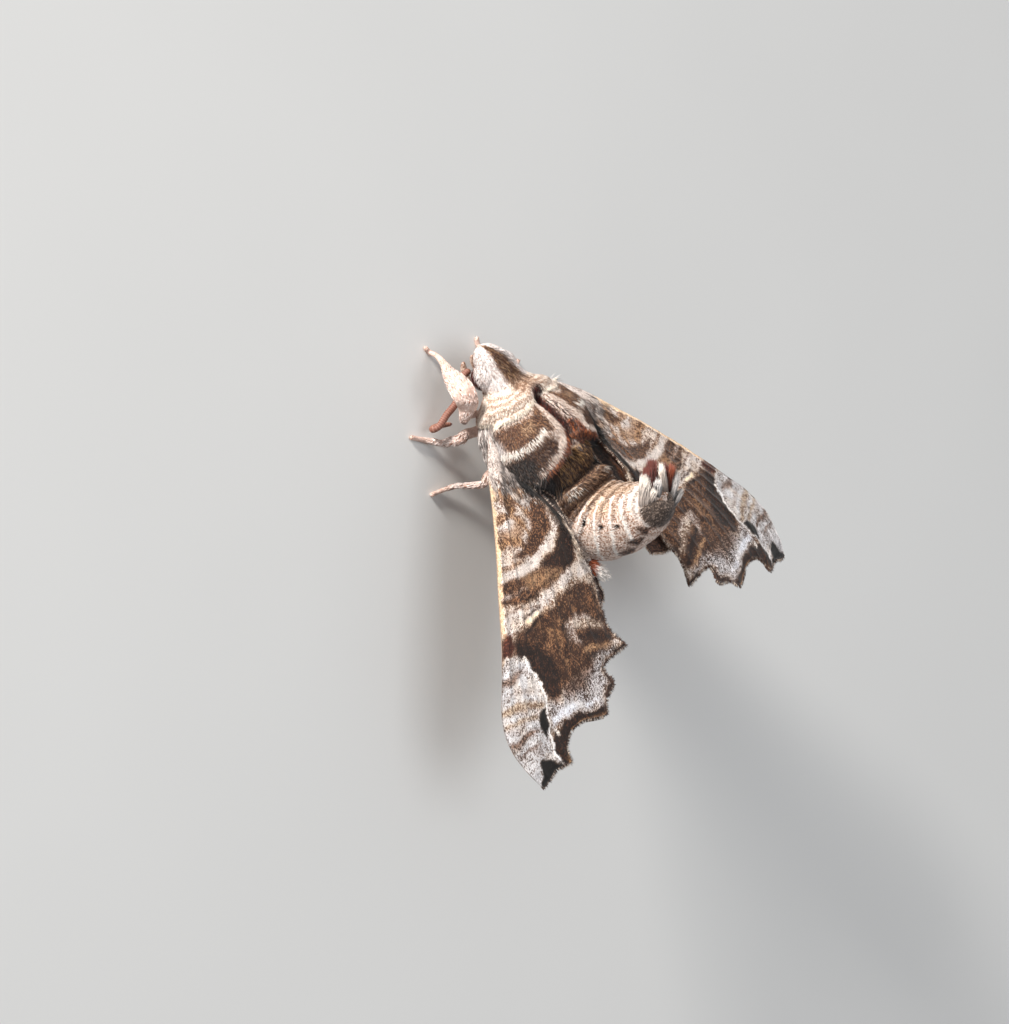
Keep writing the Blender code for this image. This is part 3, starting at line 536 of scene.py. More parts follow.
# Pale tip of the forewing: streaks by a sine across it, and the black letters at its two ends
def tipMarks(made):
    p, q = made.p, made.q
    made.patch([
        (14.9, -1.9), (15.0, -0.6), (15.7, 0.15), (16.8, 0.7), (18.0, 1.05), (19.0, 1.0), (20.2, 1.1),
        (21.4, 1.05), (22.6, 1.35), (23.1, 2.0), (23.0, 0.9), (24.8, 0.3), (24.9, -0.4), (23.4, -1.5),
        (21.5, -2.6), (19.3, -3.0), (16.5, -2.6)
    ], 0.12, share=0.26, light=(208, 204, 204), dark=(104, 88, 80))
    streak = 0.5 + 0.5 * np.sin((p + q * 0.32) * 5.2 + 1.4 * np.sin(q * 2.1 + p))
    tip = patchOf(p, q, [(15.2, -2.6), (22.4, -2.4), (22.6, 0.4), (15.6, 0.2)], 0.5)
    made.lay(tip * ease(streak, 0.5, 1.0) * 0.3, share=0.6, **brown)
    made.stroke([(16.9, -2.5), (16.7, -1.6), (16.1, -0.6)], [0.3, 0.26, 0.1], 0.2, share=0.65,
                strength=0.8, **brown)
    made.stroke([(19.0, -2.8), (18.8, -1.8), (18.5, -0.6), (18.6, 0.7)], [0.28, 0.3, 0.3, 0.24],
                0.22, share=0.62, strength=0.7, **tipTan)
    made.stroke([(20.1, -2.4), (19.6, -1.2), (19.5, 0.2)], [0.12, 0.2, 0.16], 0.14, share=0.6,
                strength=0.6, **tipTan)
    made.stroke([(21.6, -2.3), (21.0, -1.3), (20.6, 0.0)], [0.2, 0.24, 0.14], 0.16, share=0.66,
                strength=0.85, **brown)
    made.stroke([(22.3, -1.8), (21.9, -0.9), (21.6, 0.1)], [0.1, 0.14, 0.1], 0.1, share=0.5,
                strength=0.7, **brown)
    made.stroke([
        (15.1, -0.3), (16.2, 0.55), (17.9, 1.2), (19.4, 1.12), (21.0, 1.12), (22.5, 1.5), (23.1, 2.2)
    ], [0.14, 0.14, 0.08, 0.06, 0.08, 0.12, 0.06], 0.07, share=0.05, light=(246, 242, 240))
    made.stroke([(15.0, 0.0), (16.2, 0.9), (17.6, 1.5)], [0.14, 0.2, 0.2], 0.14, share=0.9, **deepBrown)
    # the two black letters of the outer half
    made.patch([(18.9, 1.0), (19.2, 0.5), (19.9, 0.22), (20.7, 0.4), (21.3, 0.85), (20.4, 1.02)],
               0.08, share=0.97, **black)
    made.patch([(22.6, -0.02), (23.6, -0.05), (25.0, 0.2), (24.2, 0.9), (23.7, 1.5), (23.4, 2.5),
                (23.1, 1.7), (22.8, 0.9)], 0.09, share=0.97, **black)


# The forewing's upper face, on its own millimetres: p from the hinge to the tip, q from the
# leading edge line to the inner margin. Each mark is a soft patch or stroke laid on the last
def foreMarkings(a, b):
    p = a + wobble(a * 1.3, b * 1.3, 11, 0.34) + wobble(a * 4.1, b * 4.1, 12, 0.16)
    q = b + wobble(a * 1.3 + 7, b * 1.3, 13, 0.34)
    q = q + wobble(a * 4.1, b * 4.1 + 5, 14, 0.16)
    # the marks by the inner margin keep their distance from it
    margin = np.maximum(readAt(foreWing["innerMarks"], a), 1.0)
    q = q + readAt(foreWing["innerMarks"], a, 2) * np.clip(b / margin, 0, 1.15) ** 2
    made = Markings(p, q, (202, 184, 168), (106, 76, 56), 0.5)
    baseMarks(made)
    bandMarks(made)
    middleMarks(made, a, b)
    outerMarks(made)
    tipMarks(made)
    # cream rim of the inner margin, and black on it near the root: partly black hair, partly painted
    # shadow between the wing and the body
    made.stroke([(2.2, 5.0), (4.4, 6.1), (6.2, 6.5), (7.9, 6.5)], [0.1, 0.2, 0.3, 0.3], 0.14,
                share=0.2, light=(238, 222, 204), dark=(186, 152, 126))
    # black near the root: partly black hair, partly painted shadow between the wing and the body
    close = 1 - ease(margin - b, 0.05, 0.35)
    made.lay(close * ease(a, -1.0, 0.2) * (1 - ease(a, 4.6, 5.6)), share=0.9, **black)
    # clouds and streaks along the veins, which vary every field above
    cloud = grain(a * 0.9 + 3, b * 1.2, 16) * 0.6 + grain(a * 2.1, b * 2.6 + 9, 17) * 0.4
    streaks = grain(a * 0.8 + 40, b * 3.6, 18)
    fine = grain(a * 5.0 + 13, b * 5.0 + 29, 23)
    made.share = made.share + 0.4 * (cloud - 0.5) + 0.24 * (streaks - 0.5) + 0.3 * (fine - 0.5)
    made.share = np.clip(made.share, 0, 1)
    tone = 0.72 + 0.56 * grain(a * 1.5 + 21, b * 2.2 + 2, 19)
    made.dark = made.dark * tone[..., None]
    warm = ease(grain(a * 1.2 + 11, b * 1.6 + 30, 20), 0.5, 0.85) * 0.5
    made.light = made.light + warm[..., None] * made.light * np.array([0.06, -0.06, -0.2])
    # tan line of the leading edge, grey hair of the root
    lead = q - readAt(foreWing["leading"], p)
    rim = (1 - ease(lead, 0.12, 0.3)) * (1 - ease(p, 12.6, 13.8)) * ease(p, 0.5, 2.0)
    made.lay(rim, light=(236, 206, 172), dark=(206, 168, 130), share=0.25)
    made.lay(1 - ease(a + 0.5 * b, 0.4, 1.8), light=(214, 200, 192), dark=(150, 132, 122),
             share=0.35)
    return made


# The hindwing's upper face on the same millimetres: rust, with dusky bands by the distance from
# its outer edge and black hair by the distance from its inner margin
def hindMarkings(a, b):
    p = a + wobble(a * 1.5, b * 1.5, 21, 0.3)
    q = b + wobble(a * 1.5 + 3, b * 1.5, 22, 0.3)
    made = Markings(p, q, (186, 120, 74), (122, 66, 38), 0.5)
    outer = smoothed(hindWing["outer"], 60)
    away = reachOf(p, q, outer)[0]
    made.lay(1 - ease(away, 1.5, 2.1), light=(120, 78, 54), dark=(66, 40, 28), share=0.75)
    made.lay(ease(away, 2.5, 2.7) * (1 - ease(away, 2.9, 3.2)), dark=(70, 42, 28), share=0.75)
    made.lay(1 - ease(away, 0.15, 0.3), light=(196, 170, 148), dark=(70, 50, 40), share=0.6)
    inner = reachOf(p, q, smoothed(hindWing["trailing"], 40))[0]
    made.lay((1 - ease(inner, 0.8, 2.0)) * (1 - ease(p, 7.0, 9.0)), light=(86, 64, 52),
             dark=(30, 22, 19), share=0.8)
    made.lay(ease(q, 7.0, 8.0), light=(116, 82, 66), dark=(44, 30, 24), share=0.72)
    made.lay(ease(q, 6.8, 7.6) * (1 - ease(np.abs(p - 10.2), 0.3, 0.8)), share=0.85,
             dark=(50, 34, 27))
    return made


# Steps of angle from the coat's leaning middle line
def fromMiddle(y, angle):
    return np.abs(angle / trunk["degrees"] + readAt(trunk["lean"], y))


# Distance in front of the collar's rear edge
def aheadOfCollar(y, turn):
    return readAt(trunk["collarEdge"], turn, 0, 1) - y


# Head: white sides, wine red face that is partly painted shade under the head, brown streak along the
# crown
def headMarks(made):
    made.patch([(-7.8, 0.8), (-4.2, 0.8), (-3.7, 2.4), (-3.9, 7.0), (-5.0, 7.4), (-6.4, 7.4),
                (-7.8, 7.6)], 0.3, light=(238, 228, 224), dark=(178, 156, 146), share=0.22)
    # wine red face: partly its own colour, partly painted shade of the face under the head
    made.patch([(-6.7, 7.2), (-5.8, 6.2), (-5.0, 6.1), (-4.2, 6.4), (-3.8, 7.0), (-3.9, 8.4),
                (-6.8, 9.5)], 0.25, share=0.8, light=(136, 72, 52), dark=(66, 26, 18))
    made.patch([(-7.5, 8.4), (-3.9, 7.8), (-3.6, 13), (-7.5, 13)], 0.4, share=0.45,
               light=(206, 176, 160), dark=(128, 88, 70))
    made.stroke([(-7.5, 0), (-6.6, 0), (-5.6, 0), (-4.6, 0), (-3.7, 0)], [0.7, 1.2, 1.45, 1.45, 1.0],
                0.35, share=0.76, light=(158, 120, 84), dark=(86, 54, 36))


# Collar: cream, with fine arcs that follow its rear edge, as bells of the distance from it
def collarMarks(made):
    p, q = made.p, made.q
    made.patch([
        (-4.2, -0.5), (-2.6, -0.5), (-2.0, 1.0), (-1.8, 2.4), (-1.9, 4.6), (-2.1, 8.0), (-4.3, 8.0),
        (-4.0, 3.0)
    ], 0.2, share=0.22, light=(242, 228, 214), dark=(196, 166, 144))
    made.patch([(-4.3, -0.5), (-3.0, -0.5), (-3.0, 1.4), (-3.6, 2.0), (-4.3, 1.8)], 0.35, share=0.6,
               light=(196, 166, 142), dark=(138, 104, 82))
    before = aheadOfCollar(p, q)
    for away in (0.5, 0.88, 1.26, 1.62):
        line = np.exp(-((before - away) / 0.08) ** 2) * ease(q, 0.2, 0.8) * (1 - ease(q, 6.0, 7.5))
        made.lay(line * 0.75, light=(180, 146, 122), dark=(138, 104, 84), share=0.8)
    rim = np.exp(-((before - 0.1) / 0.13) ** 2)
    made.lay(rim, light=(252, 238, 218), dark=(228, 202, 174), share=0.08)


# Shoulder lobes: brown field, white crescent, dusky rear, pale inner edge, rust fringe
def lobeMarks(made):
    made.patch([
        (-1.9, 1.1), (-0.5, 1.15), (0.28, 1.3), (0.2, 1.8), (-0.26, 2.1), (0.2, 3.1), (0.2, 4.2),
        (-0.3, 5.3), (-0.6, 6.6), (-1.15, 7.4), (-1.7, 6.0), (-1.62, 4.4), (-1.5, 3.0), (-1.5, 1.8)
    ], 0.16, share=0.74, light=(152, 110, 78), dark=(80, 50, 35))
    made.patch([(-1.2, 2.2), (-0.5, 2.3), (-0.4, 3.4), (-1.0, 3.4)], 0.25, share=0.5, strength=0.6,
               light=(204, 170, 136), dark=(128, 94, 68))
    made.patch([(-1.5, 5.4), (-0.6, 5.0), (0.1, 4.9), (0.3, 8.6), (-1.9, 8.6), (-1.9, 6.4)], 0.3,
               share=0.38, light=(228, 218, 214), dark=(166, 150, 144))
    made.stroke([
        (-0.06, 1.95), (0.23, 2.66), (0.37, 3.62), (0.37, 4.3), (0.18, 5.0), (0.08, 7.4)
    ], [0.14, 0.2, 0.18, 0.18, 0.16, 0.16], 0.08, share=0.06, light=(250, 242, 232), dark=(214, 196, 180))
    made.patch([
        (0.62, 5.2), (0.6, 4.3), (0.62, 3.5), (0.55, 2.6), (0.4, 1.9), (0.9, 1.5), (1.7, 1.6),
        (2.06, 2.45), (2.5, 3.6), (3.03, 4.1), (2.6, 5.6), (1.2, 5.9)
    ], 0.16, share=0.78, light=(138, 98, 70), dark=(68, 43, 31))
    made.patch([(0.66, 5.3), (0.8, 4.2), (1.4, 3.7), (2.1, 3.8), (2.9, 4.2), (2.6, 5.8),
                (1.0, 6.2)], 0.3, share=0.82, light=(104, 84, 72), dark=(40, 31, 28))
    made.stroke([
        (-1.9, 0.62), (-1.0, 0.78), (0.0, 0.88), (0.85, 0.92), (1.5, 0.96)
    ], [0.12, 0.16, 0.22, 0.24, 0.22], 0.14, share=0.2, light=(234, 214, 200), dark=(176, 142, 122))
    made.stroke([
        (1.0, 1.1), (1.5, 1.35), (1.85, 1.9), (2.1, 2.6), (2.42, 3.4), (2.8, 3.95)
    ], [0.22, 0.24, 0.2, 0.17, 0.14, 0.1], 0.08, share=0.1, light=(248, 230, 216), dark=(204, 170, 150))
    made.stroke([
        (0.7, 0.6), (1.4, 0.75), (1.95, 0.95), (2.25, 1.4), (2.5, 2.2), (2.8, 3.2), (3.15, 4.1)
    ], [0.12, 0.24, 0.3, 0.28, 0.22, 0.17, 0.1], 0.08, share=0.6, light=(192, 112, 68), dark=(98, 48, 30))


# Trunk markings: p is y, q the steps of angle from the coat's middle line
def trunkMarkings(y, angle):
    turn = fromMiddle(y, angle)
    p = y + wobble(y * 2.2 + 9, angle / 9, 31, 0.16)
    q = turn + wobble(y * 2.2, angle / 9 + 4, 32, 0.2)
    made = Markings(p, q, (226, 208, 196), (158, 128, 108), 0.32)
    headMarks(made)
    collarMarks(made)
    lobeMarks(made)
    # behind the lobes: golden brown in the middle; black at the sides, partly black fur and partly
    # painted shadow of the thorax on the wing roots
    made.patch([(2.9, -0.5), (3.1, 2.0), (3.6, 4.6), (5.6, 5.2), (5.6, -0.5)], 0.2, share=0.7,
               light=(150, 112, 74), dark=(66, 46, 34))
    made.patch([(2.5, -0.5), (2.7, 0.9), (3.3, 1.2), (3.7, -0.5)], 0.25, share=0.45,
               light=(214, 170, 112), dark=(140, 86, 48))
    # black sides: partly black fur, partly painted shadow of the thorax
    made.patch([(3.1, 3.0), (3.5, 2.2), (5.6, 2.6), (5.6, 7.4), (3.2, 6.4)], 0.3, share=0.8,
               light=(104, 82, 66), dark=(36, 29, 27))
    groove = (1 - ease(turn, 0.44, 0.68)) * ease(p, -3.3, -2.7) * (1 - ease(p, 1.9, 2.4))
    made.lay(groove, share=0.8, light=(100, 38, 24), dark=(42, 15, 10))
    made.patch([(-6.5, 8.2), (6.0, 7.6), (6.0, 13), (-6.5, 13)], 0.6, share=0.4,
               light=(216, 188, 170), dark=(150, 112, 92))
    return made


# Abdomen markings: p counts stations along the curl, q the steps of angle from the back
def abdomenMarkings(station, angle):
    turn = np.abs(angle) / abdomen["degrees"]
    p = station + wobble(station * 4, angle / 8, 41, 0.08)
    q = turn + wobble(station * 4 + 5, angle / 8, 42, 0.2)
    made = Markings(p, q, (234, 214, 201), (166, 128, 106), 0.36)
    made.stroke([(3.4, 0.0), (4.6, 0.3), (6.6, 0.3)], [1.0, 0.9, 0.5], 0.5, share=0.55,
                light=(214, 184, 156), dark=(142, 106, 80), strength=0.8)
    made.patch([(4.1, 0.8), (6.0, 1.6), (6.2, 2.8), (5.2, 2.9), (4.2, 2.2)], 0.3, share=0.5,
               strength=0.55, light=(214, 184, 152), dark=(160, 122, 92))
    made.patch([(-1, -1), (2.7, -1), (3.5, 0.4), (3.6, 1.4), (3.5, 2.6), (2.9, 3.4), (1.0, 3.4),
                (-1, 3.0)], 0.2, share=0.72, light=(172, 134, 104), dark=(80, 54, 40))
    made.patch([(-1, 3.0), (1.4, 3.2), (2.8, 3.6), (2.6, 9), (-1, 9)], 0.3, share=0.5,
               light=(196, 160, 136), dark=(104, 78, 62))
    made.stroke([(0.66, 1.0), (0.69, 1.5), (0.69, 2.1)], [0.1, 0.2, 0.16], 0.08, share=0.04,
                light=(250, 242, 232), dark=(220, 202, 186))
    for number, path in enumerate(abdomen["lines"]):
        made.stroke(path, 0.06 if number else 0.04, 0.04, share=0.02, light=(255, 250, 244),
                    dark=(246, 234, 224))
        behind = [(along + 0.13, aside) for along, aside in path]
        made.stroke(behind, 0.03, 0.06, dark=(134, 94, 74), share=0.6, strength=0.75)
    for along, aside, size in abdomen["dots"]:
        away = np.hypot((p - along) * 1.4, (q - aside) * 0.9)
        made.lay(1 - ease(away, size, size + 0.08), light=(64, 46, 40), dark=(16, 10, 9), share=0.92)
    for outline in abdomen["spots"]:
        made.patch(outline, 0.16, share=0.8, light=(122, 84, 64), dark=(38, 27, 23))
    made.patch([(6.45, -1), (7.6, -1), (7.5, 2.4), (7.2, 3.6), (7.05, 4.6), (6.9, 5.6), (6.75, 3.0)],
               0.12, share=0.12, light=(246, 232, 222), dark=(206, 180, 162))
    made.patch([(7.15, 3.4), (7.6, 2.7), (8.5, 2.2), (8.5, 9.5), (7.0, 9.5), (7.0, 5.0)], 0.14,
               share=0.72, light=(126, 109, 98), dark=(66, 54, 47))
    return made


# The trunk's smooth cross sections, ready to be read at any y, and the abdomen's smooth path
trunkTable = smoothed(trunk["stations"], 400)
pathSteps = 240
abdomenPath = smoothed(abdomen["stations"], pathSteps + 1)
stationSteps = np.linalg.norm(np.diff(np.array(abdomen["stations"])[:, :2], axis=0), axis=1)
stationLength = np.concatenate([[0], np.cumsum(stationSteps)]) / stationSteps.sum()
stationNumbers = np.arange(len(stationLength))


# Place of a share of the curl's length between the rings' edges, from 0 to 1
def ringPart(station):
    edges = np.array(abdomen["rings"])
    index = np.clip(np.searchsorted(edges, station) - 1, 0, len(edges) - 2)
    return (station - edges[index]) / (edges[index + 1] - edges[index])


# The sine or cosine of a section, squared off by a power under 1
def squared(value, power):
    return np.sign(value) * np.abs(value) ** power


# Point of the trunk's skin at y and at an angle from the middle of the back, in degrees. A
# rounded square section by a power of sine and cosine, with the shoulder lobes raised on it
def trunkPoint(y, angle, inset):
    y, angle = np.broadcast_arrays(y, angle)
    wide, top, bottom = (readAt(trunkTable, y, k) for k in (1, 2, 3))
    turn = np.radians(angle)
    leant = fromMiddle(y, angle)
    lobe = patchOf(y, leant, trunk["lobe"], 0.18)
    rise = trunk["lobeHeight"] * lobe * ease(y, -2.4, 1.0) ** 0.7
    groove = np.exp(-(leant / 0.4) ** 2) * ease(y, -3.0, -2.0) * (1 - ease(y, 2.4, 3.4))
    rise = rise - trunk["grooveDepth"] * groove
    before = aheadOfCollar(y, leant)
    rise = rise + trunk["collarLip"] * ease(before, 0, 0.12) * (1 - ease(before, 0.7, 1.7))
    wide = np.maximum(wide - inset, 0.1) + rise
    top = top - inset + rise
    bottom = bottom + inset
    middle = (top + bottom) / 2
    tall = (top - bottom) / 2
    power = 2 / readAt(trunk["round"], y)
    x = squared(np.sin(turn), power) * wide
    flare = trunk["lobeFlare"] * lobe * ease(np.abs(angle), 45, 78)
    x = x + np.sign(x) * flare
    z = middle + squared(np.cos(turn), power) * tall
    return np.stack([x, y + 0 * turn, z], axis=-1)


# Point of the abdomen's skin: share is the length along the curl from 0 to 1, angle from its
# upper side in degrees. Each ring ends in a low lip
def abdomenPoint(share, angle, inset):
    share, angle = np.broadcast_arrays(share, angle)
    at = np.clip(share, 0, 1) * pathSteps
    y, z, climb, deep, wide = (np.interp(at, np.arange(pathSteps + 1), column)
                               for column in abdomenPath.T)
    part = ringPart(np.interp(share, stationLength, stationNumbers))
    lip = abdomen["lip"] * ease(part, 0.1, 0.9) * (1 - ease(part, 0.93, 1.0))
    deep = np.maximum(deep - inset + lip, 0.1)
    wide = np.maximum(wide - inset + lip, 0.1)
    climb = np.radians(climb)
    turn = np.radians(angle)
    power = 2 / abdomen["round"]
    across = squared(np.sin(turn), power) * wide
    up = squared(np.cos(turn), power) * deep
    return np.stack([across, y - up * np.sin(climb), z + up * np.cos(climb)], axis=-1)


# Half width of the trunk and of the curled abdomen at y and z, which the wings keep clear of
def bodySide(y, z):
    shoulder, power = -2.7, abdomen["round"]
    table = [row for row in trunk["stations"] if row[0] >= shoulder]
    wide, top, bottom = (readAt(table, y, k) for k in (1, 2, 3))
    height = np.abs((z - (top + bottom) / 2) / ((top - bottom) / 2))
    inside = (y > shoulder - 0.35) & (y < 5.0)
    trunkSide = wide * (1 - np.clip(height, 0, 1) ** power) ** (1 / power)
    trunkSide = np.where(inside, trunkSide, 0)
    path = abdomenPath[::4]
    away = np.hypot(y[..., None] - path[:, 0], z[..., None] - path[:, 1])
    nearest = away.argmin(axis=-1)
    share = np.clip(away.min(axis=-1) / path[nearest, 3], 0, 1)
    return np.maximum(trunkSide, path[nearest, 4] * np.sqrt(1 - share ** 2))


# Height of a wing over its flat frame: an arch, lifted where it rides on the body
def wingLift(a, b):
    along = np.clip((a + 3) / (wingFrame["span"] + 3), 0, 1)
    arch = wingFrame["arch"] * np.sin(np.pi * along) ** 0.9 * (1 - (b / 8) ** 2 * 0.8)
    onBody = np.exp(-((a - 4.5) / 3.2) ** 2) * np.clip((b - 2) / 3, 0, 1) ** 1.5
    return arch + wingFrame["bodyLift"] * onBody


# Mid surface of a wing as a fine grid of points, with each point's place on the flat wing
def wingSheet(wing):
    columns = len(wing["outer"])
    s = np.linspace(0, 1, wing["rows"] + 1)[:, None, None]
    t = np.linspace(0, 1, columns)[None, :, None]
    front = smoothed(wing["leading"], wing["rows"] + 1)[:, None, :]
    back = smoothed(wing["trailing"], wing["rows"] + 1)[:, None, :]
    teeth = np.array(wing["outer"], float)[None] - (1 - t) * front[-1] - t * back[-1]
    flat = (1 - t) * front + t * back + s ** 3 * teeth
    for step in range(wingFrame["evening"]):
        flat[1:-1, 1:-1] = (flat[:-2, 1:-1] + flat[2:, 1:-1] + flat[1:-1, :-2] + flat[1:-1, 2:]) / 4
    height = wingLift(flat[..., 0], flat[..., 1]) - wing["drop"]
    sheet = (wingFrame["hinge"] + flat[..., :1] * wingFrame["along"]
             + flat[..., 1:] * wingFrame["across"] + height[..., None] * wingFrame["out"])
    side = bodySide(sheet[..., 1], sheet[..., 2])
    clear = np.where(side > 0, side + wingFrame["clear"], 0)
    spare = sheet[..., 0] - clear
    sheet[..., 0] = clear + (spare + np.sqrt(spare ** 2 + 0.08)) / 2
    both = np.concatenate([sheet, flat], axis=2)
    fine = refined(both, wingFrame["rowsPerStep"])
    fine = refined(fine.transpose(1, 0, 2), wingFrame["columnsPerStep"]).transpose(1, 0, 2)
    return fine[..., :3], fine[..., 3:]


# Raised veins and soft folds between them, as a height at each point of the fine grid
def wingRelief(wing, flat):
    rows, columns = flat.shape[:2]
    share = np.linspace(0, 1, rows)[:, None]
    column = np.linspace(0, len(wing["outer"]) - 1, columns)[None, :]
    step = np.linalg.norm(np.gradient(flat, axis=1), axis=2) * wingFrame["columnsPerStep"]
    step = np.maximum(step, 0.02)
    relief = np.zeros((rows, columns))
    for place, start in wing["veins"].items():
        away = np.abs(column - place) * step
        shown = ease(share, start - 0.05, start + 0.06) * (1 - 0.55 * share)
        relief = np.maximum(relief, shown * np.exp(-(away / wing["veinWidth"]) ** 2))
    inCell = (column >= wing["cell"][0]) & (column <= wing["cell"][1])
    length = np.linalg.norm(flat[-1] - flat[0], axis=1)[None, :]
    away = np.abs(share - 0.52) * length
    relief = np.maximum(relief, np.where(inCell, 0.7 * np.exp(-(away / wing["veinWidth"]) ** 2), 0))
    relief = relief * wing["veinHeight"]
    a, b = flat[..., 0], flat[..., 1]
    relief = relief + wobble(a * 0.5, b * 1.1, 51, 0.16) * ease(a, 0, 3)
    relief = relief + wobble(a * 2.2, b * 2.2, 52, 0.05)
    return relief * ease(a, -2, 2)


# A mesh object from points in metres, triangles or quads, with fields kept on its points
def meshOf(name, points, faces, fields=None, smooth=True):
    mesh = bpy.data.meshes.new(name)
    sizes = np.concatenate([np.full(len(block), block.shape[1]) for block in faces])
    corners = np.concatenate([block.ravel() for block in faces]).astype(np.int32)
    mesh.vertices.add(len(points))
    mesh.vertices.foreach_set("co", np.ascontiguousarray(points, np.float32).ravel())
    mesh.loops.add(len(corners))
    mesh.loops.foreach_set("vertex_index", corners)
    mesh.polygons.add(len(sizes))
    starts = np.concatenate([[0], np.cumsum(sizes)[:-1]]).astype(np.int32)
    mesh.polygons.foreach_set("loop_start", starts)
    mesh.polygons.foreach_set("use_smooth", np.full(len(sizes), smooth))
    mesh.update(calc_edges=True)
    mesh.validate()
    setFields(mesh, fields or {})
    made = bpy.data.objects.new(name, mesh)
    bpy.context.scene.collection.objects.link(made)
    return made


# Fields of one, three or four numbers for each point of a mesh, kept under their own words
def setFields(mesh, fields):
    kinds = {1: ("FLOAT", "value"), 3: ("FLOAT_VECTOR", "vector"), 4: ("FLOAT_COLOR", "color")}
    for word, values in fields.items():
        values = np.asarray(values, np.float32)
        kind, part = kinds[values.size // len(values)]
        mesh.attributes.new(word, kind, "POINT").data.foreach_set(part, values.ravel())


# The numbers that a mesh's points, edges or corners keep under one word, in one flat array
def numbersOf(items, word, each, kind=np.int32):
    values = np.zeros(len(items) * each, kind)
    items.foreach_get(word, values)
    return values


# A UV map from one (u, v) for each point of the mesh
def setMap(made, places):
    corner = numbersOf(made.data.loops, "vertex_index", 1)
    layer = made.data.uv_layers.new(name="OFBake")
    layer.data.foreach_set("uv", np.ascontiguousarray(places[corner], np.float32).ravel())


# Colours with a full alpha
def withAlpha(colour):
    return np.concatenate([colour, np.ones(colour.shape[:-1] + (1,))], axis=-1)


# Tell the frame what a piece rides on, and hide the nodes that it stands for
def place(made, slot, *nodes):
    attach(made, "root")
    if nodes:
        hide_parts(*nodes)
    print("made", made.name, len(made.data.polygons), "faces")


# Faces that join a grid's rows and columns, as quads, wound round the columns if it closes
def gridFaces(rows, columns, closed):
    index = np.arange(rows * columns).reshape(rows, columns)
    if closed:
        index = np.concatenate([index, index[:, :1]], axis=1)
    return np.stack([index[:-1, :-1], index[:-1, 1:], index[1:, 1:], index[1:, :-1]],
                    axis=-1).reshape(-1, 4)


# One wing as a closed body: upper and lower face with their own points, and a rim between
def makeWing(name, wing, markings, side):
    sheet, flat = wingSheet(wing)
    rows, columns = sheet.shape[:2]
    out = wingFrame["out"]
    relief = wingRelief(wing, flat)
    a, b = flat[..., 0], flat[..., 1]
    border = np.concatenate([flat[:, 0], flat[-1], flat[::-1, -1]])[::6]
    rim = reachOf(a, b, border)[0]
    thick = wing["halfThickness"] * (0.3 + 0.7 * ease(rim, 0, 0.6))
    over = sheet + out * (thick + relief)[..., None]
    under = sheet - out * (thick - relief * 0.35)[..., None]
    points = np.concatenate([over.reshape(-1, 3), under.reshape(-1, 3)])
    count = rows * columns
    grid = gridFaces(rows, columns, False)
    index = np.arange(count).reshape(rows, columns)
    loop = np.concatenate([index[:-1, 0], index[-1, :-1], index[:0:-1, -1], index[0, :0:-1]])
    ahead = np.roll(loop, -1)
    rimFaces = np.stack([loop, ahead, ahead + count, loop + count], axis=1)
    faces = np.concatenate([grid[:, ::-1], grid + count, rimFaces])
    upper = markings(a, b)
    lower = underMarkings(a, b, wing)
    light = np.concatenate([upper.light.reshape(-1, 3), lower.light.reshape(-1, 3)])
    dark = np.concatenate([upper.dark.reshape(-1, 3), lower.dark.reshape(-1, 3)])
    share = np.concatenate([upper.share.ravel(), lower.share.ravel()])
    level = np.concatenate([np.zeros(count), np.full(count, 4.0)])
    spot = np.stack([np.tile(a.ravel(), 2), np.tile(b.ravel(), 2), level], axis=1)
    if side < 0:
        points = points * (-1, 1, 1)
        faces = faces[:, ::-1]
        spot = spot + (0, 0, 9)
    made = meshOf(name, toWorld(points), [faces], {"spot": spot, "lightColour": withAlpha(light),
                                                  "darkColour": withAlpha(dark), "darkShare": share})
    return made, over, flat, upper


# A wing's under side: tawny, with a darker outer margin and one dusky band
def underMarkings(a, b, wing):
    p = a + wobble(a * 1.2, b * 1.2, 61, 0.5)
    made = Markings(p, b, (196, 158, 126), (140, 92, 62), 0.5)
    outer = smoothed(wing["outer"], 60)
    away = reachOf(p, b, outer)[0]
    made.lay(1 - ease(away, 1.0, 1.8), light=(150, 116, 92), dark=(84, 56, 42), share=0.7)
    made.lay(ease(away, 2.6, 2.9) * (1 - ease(away, 3.1, 3.5)), dark=(90, 54, 36), share=0.7)
    return made


# Smooth outward direction at each point of a surface function of two values
def outward(surface, first, second, firstStep, secondStep):
    alongFirst = surface(first + firstStep, second) - surface(first - firstStep, second)
    alongSecond = surface(first, second + secondStep) - surface(first, second - secondStep)
    return unit(np.cross(alongSecond, alongFirst)), unit(alongFirst)


# The corners of one tuft's faces: its rings of three points, and the last ring's run to the tip
def spikeFaces(rings):
    quads = []
    for ring in range(rings - 1):
        for k in range(3):
            near, after = 3 * ring + k, 3 * ring + (k + 1) % 3
            quads.append((near, after, after + 3, near + 3))
    last, tip = 3 * (rings - 1), 3 * rings
    ends = [(last, last + 1, tip), (last + 1, last + 2, tip), (last + 2, last, tip), (2, 1, 0)]
    return np.array(quads), np.array(ends)


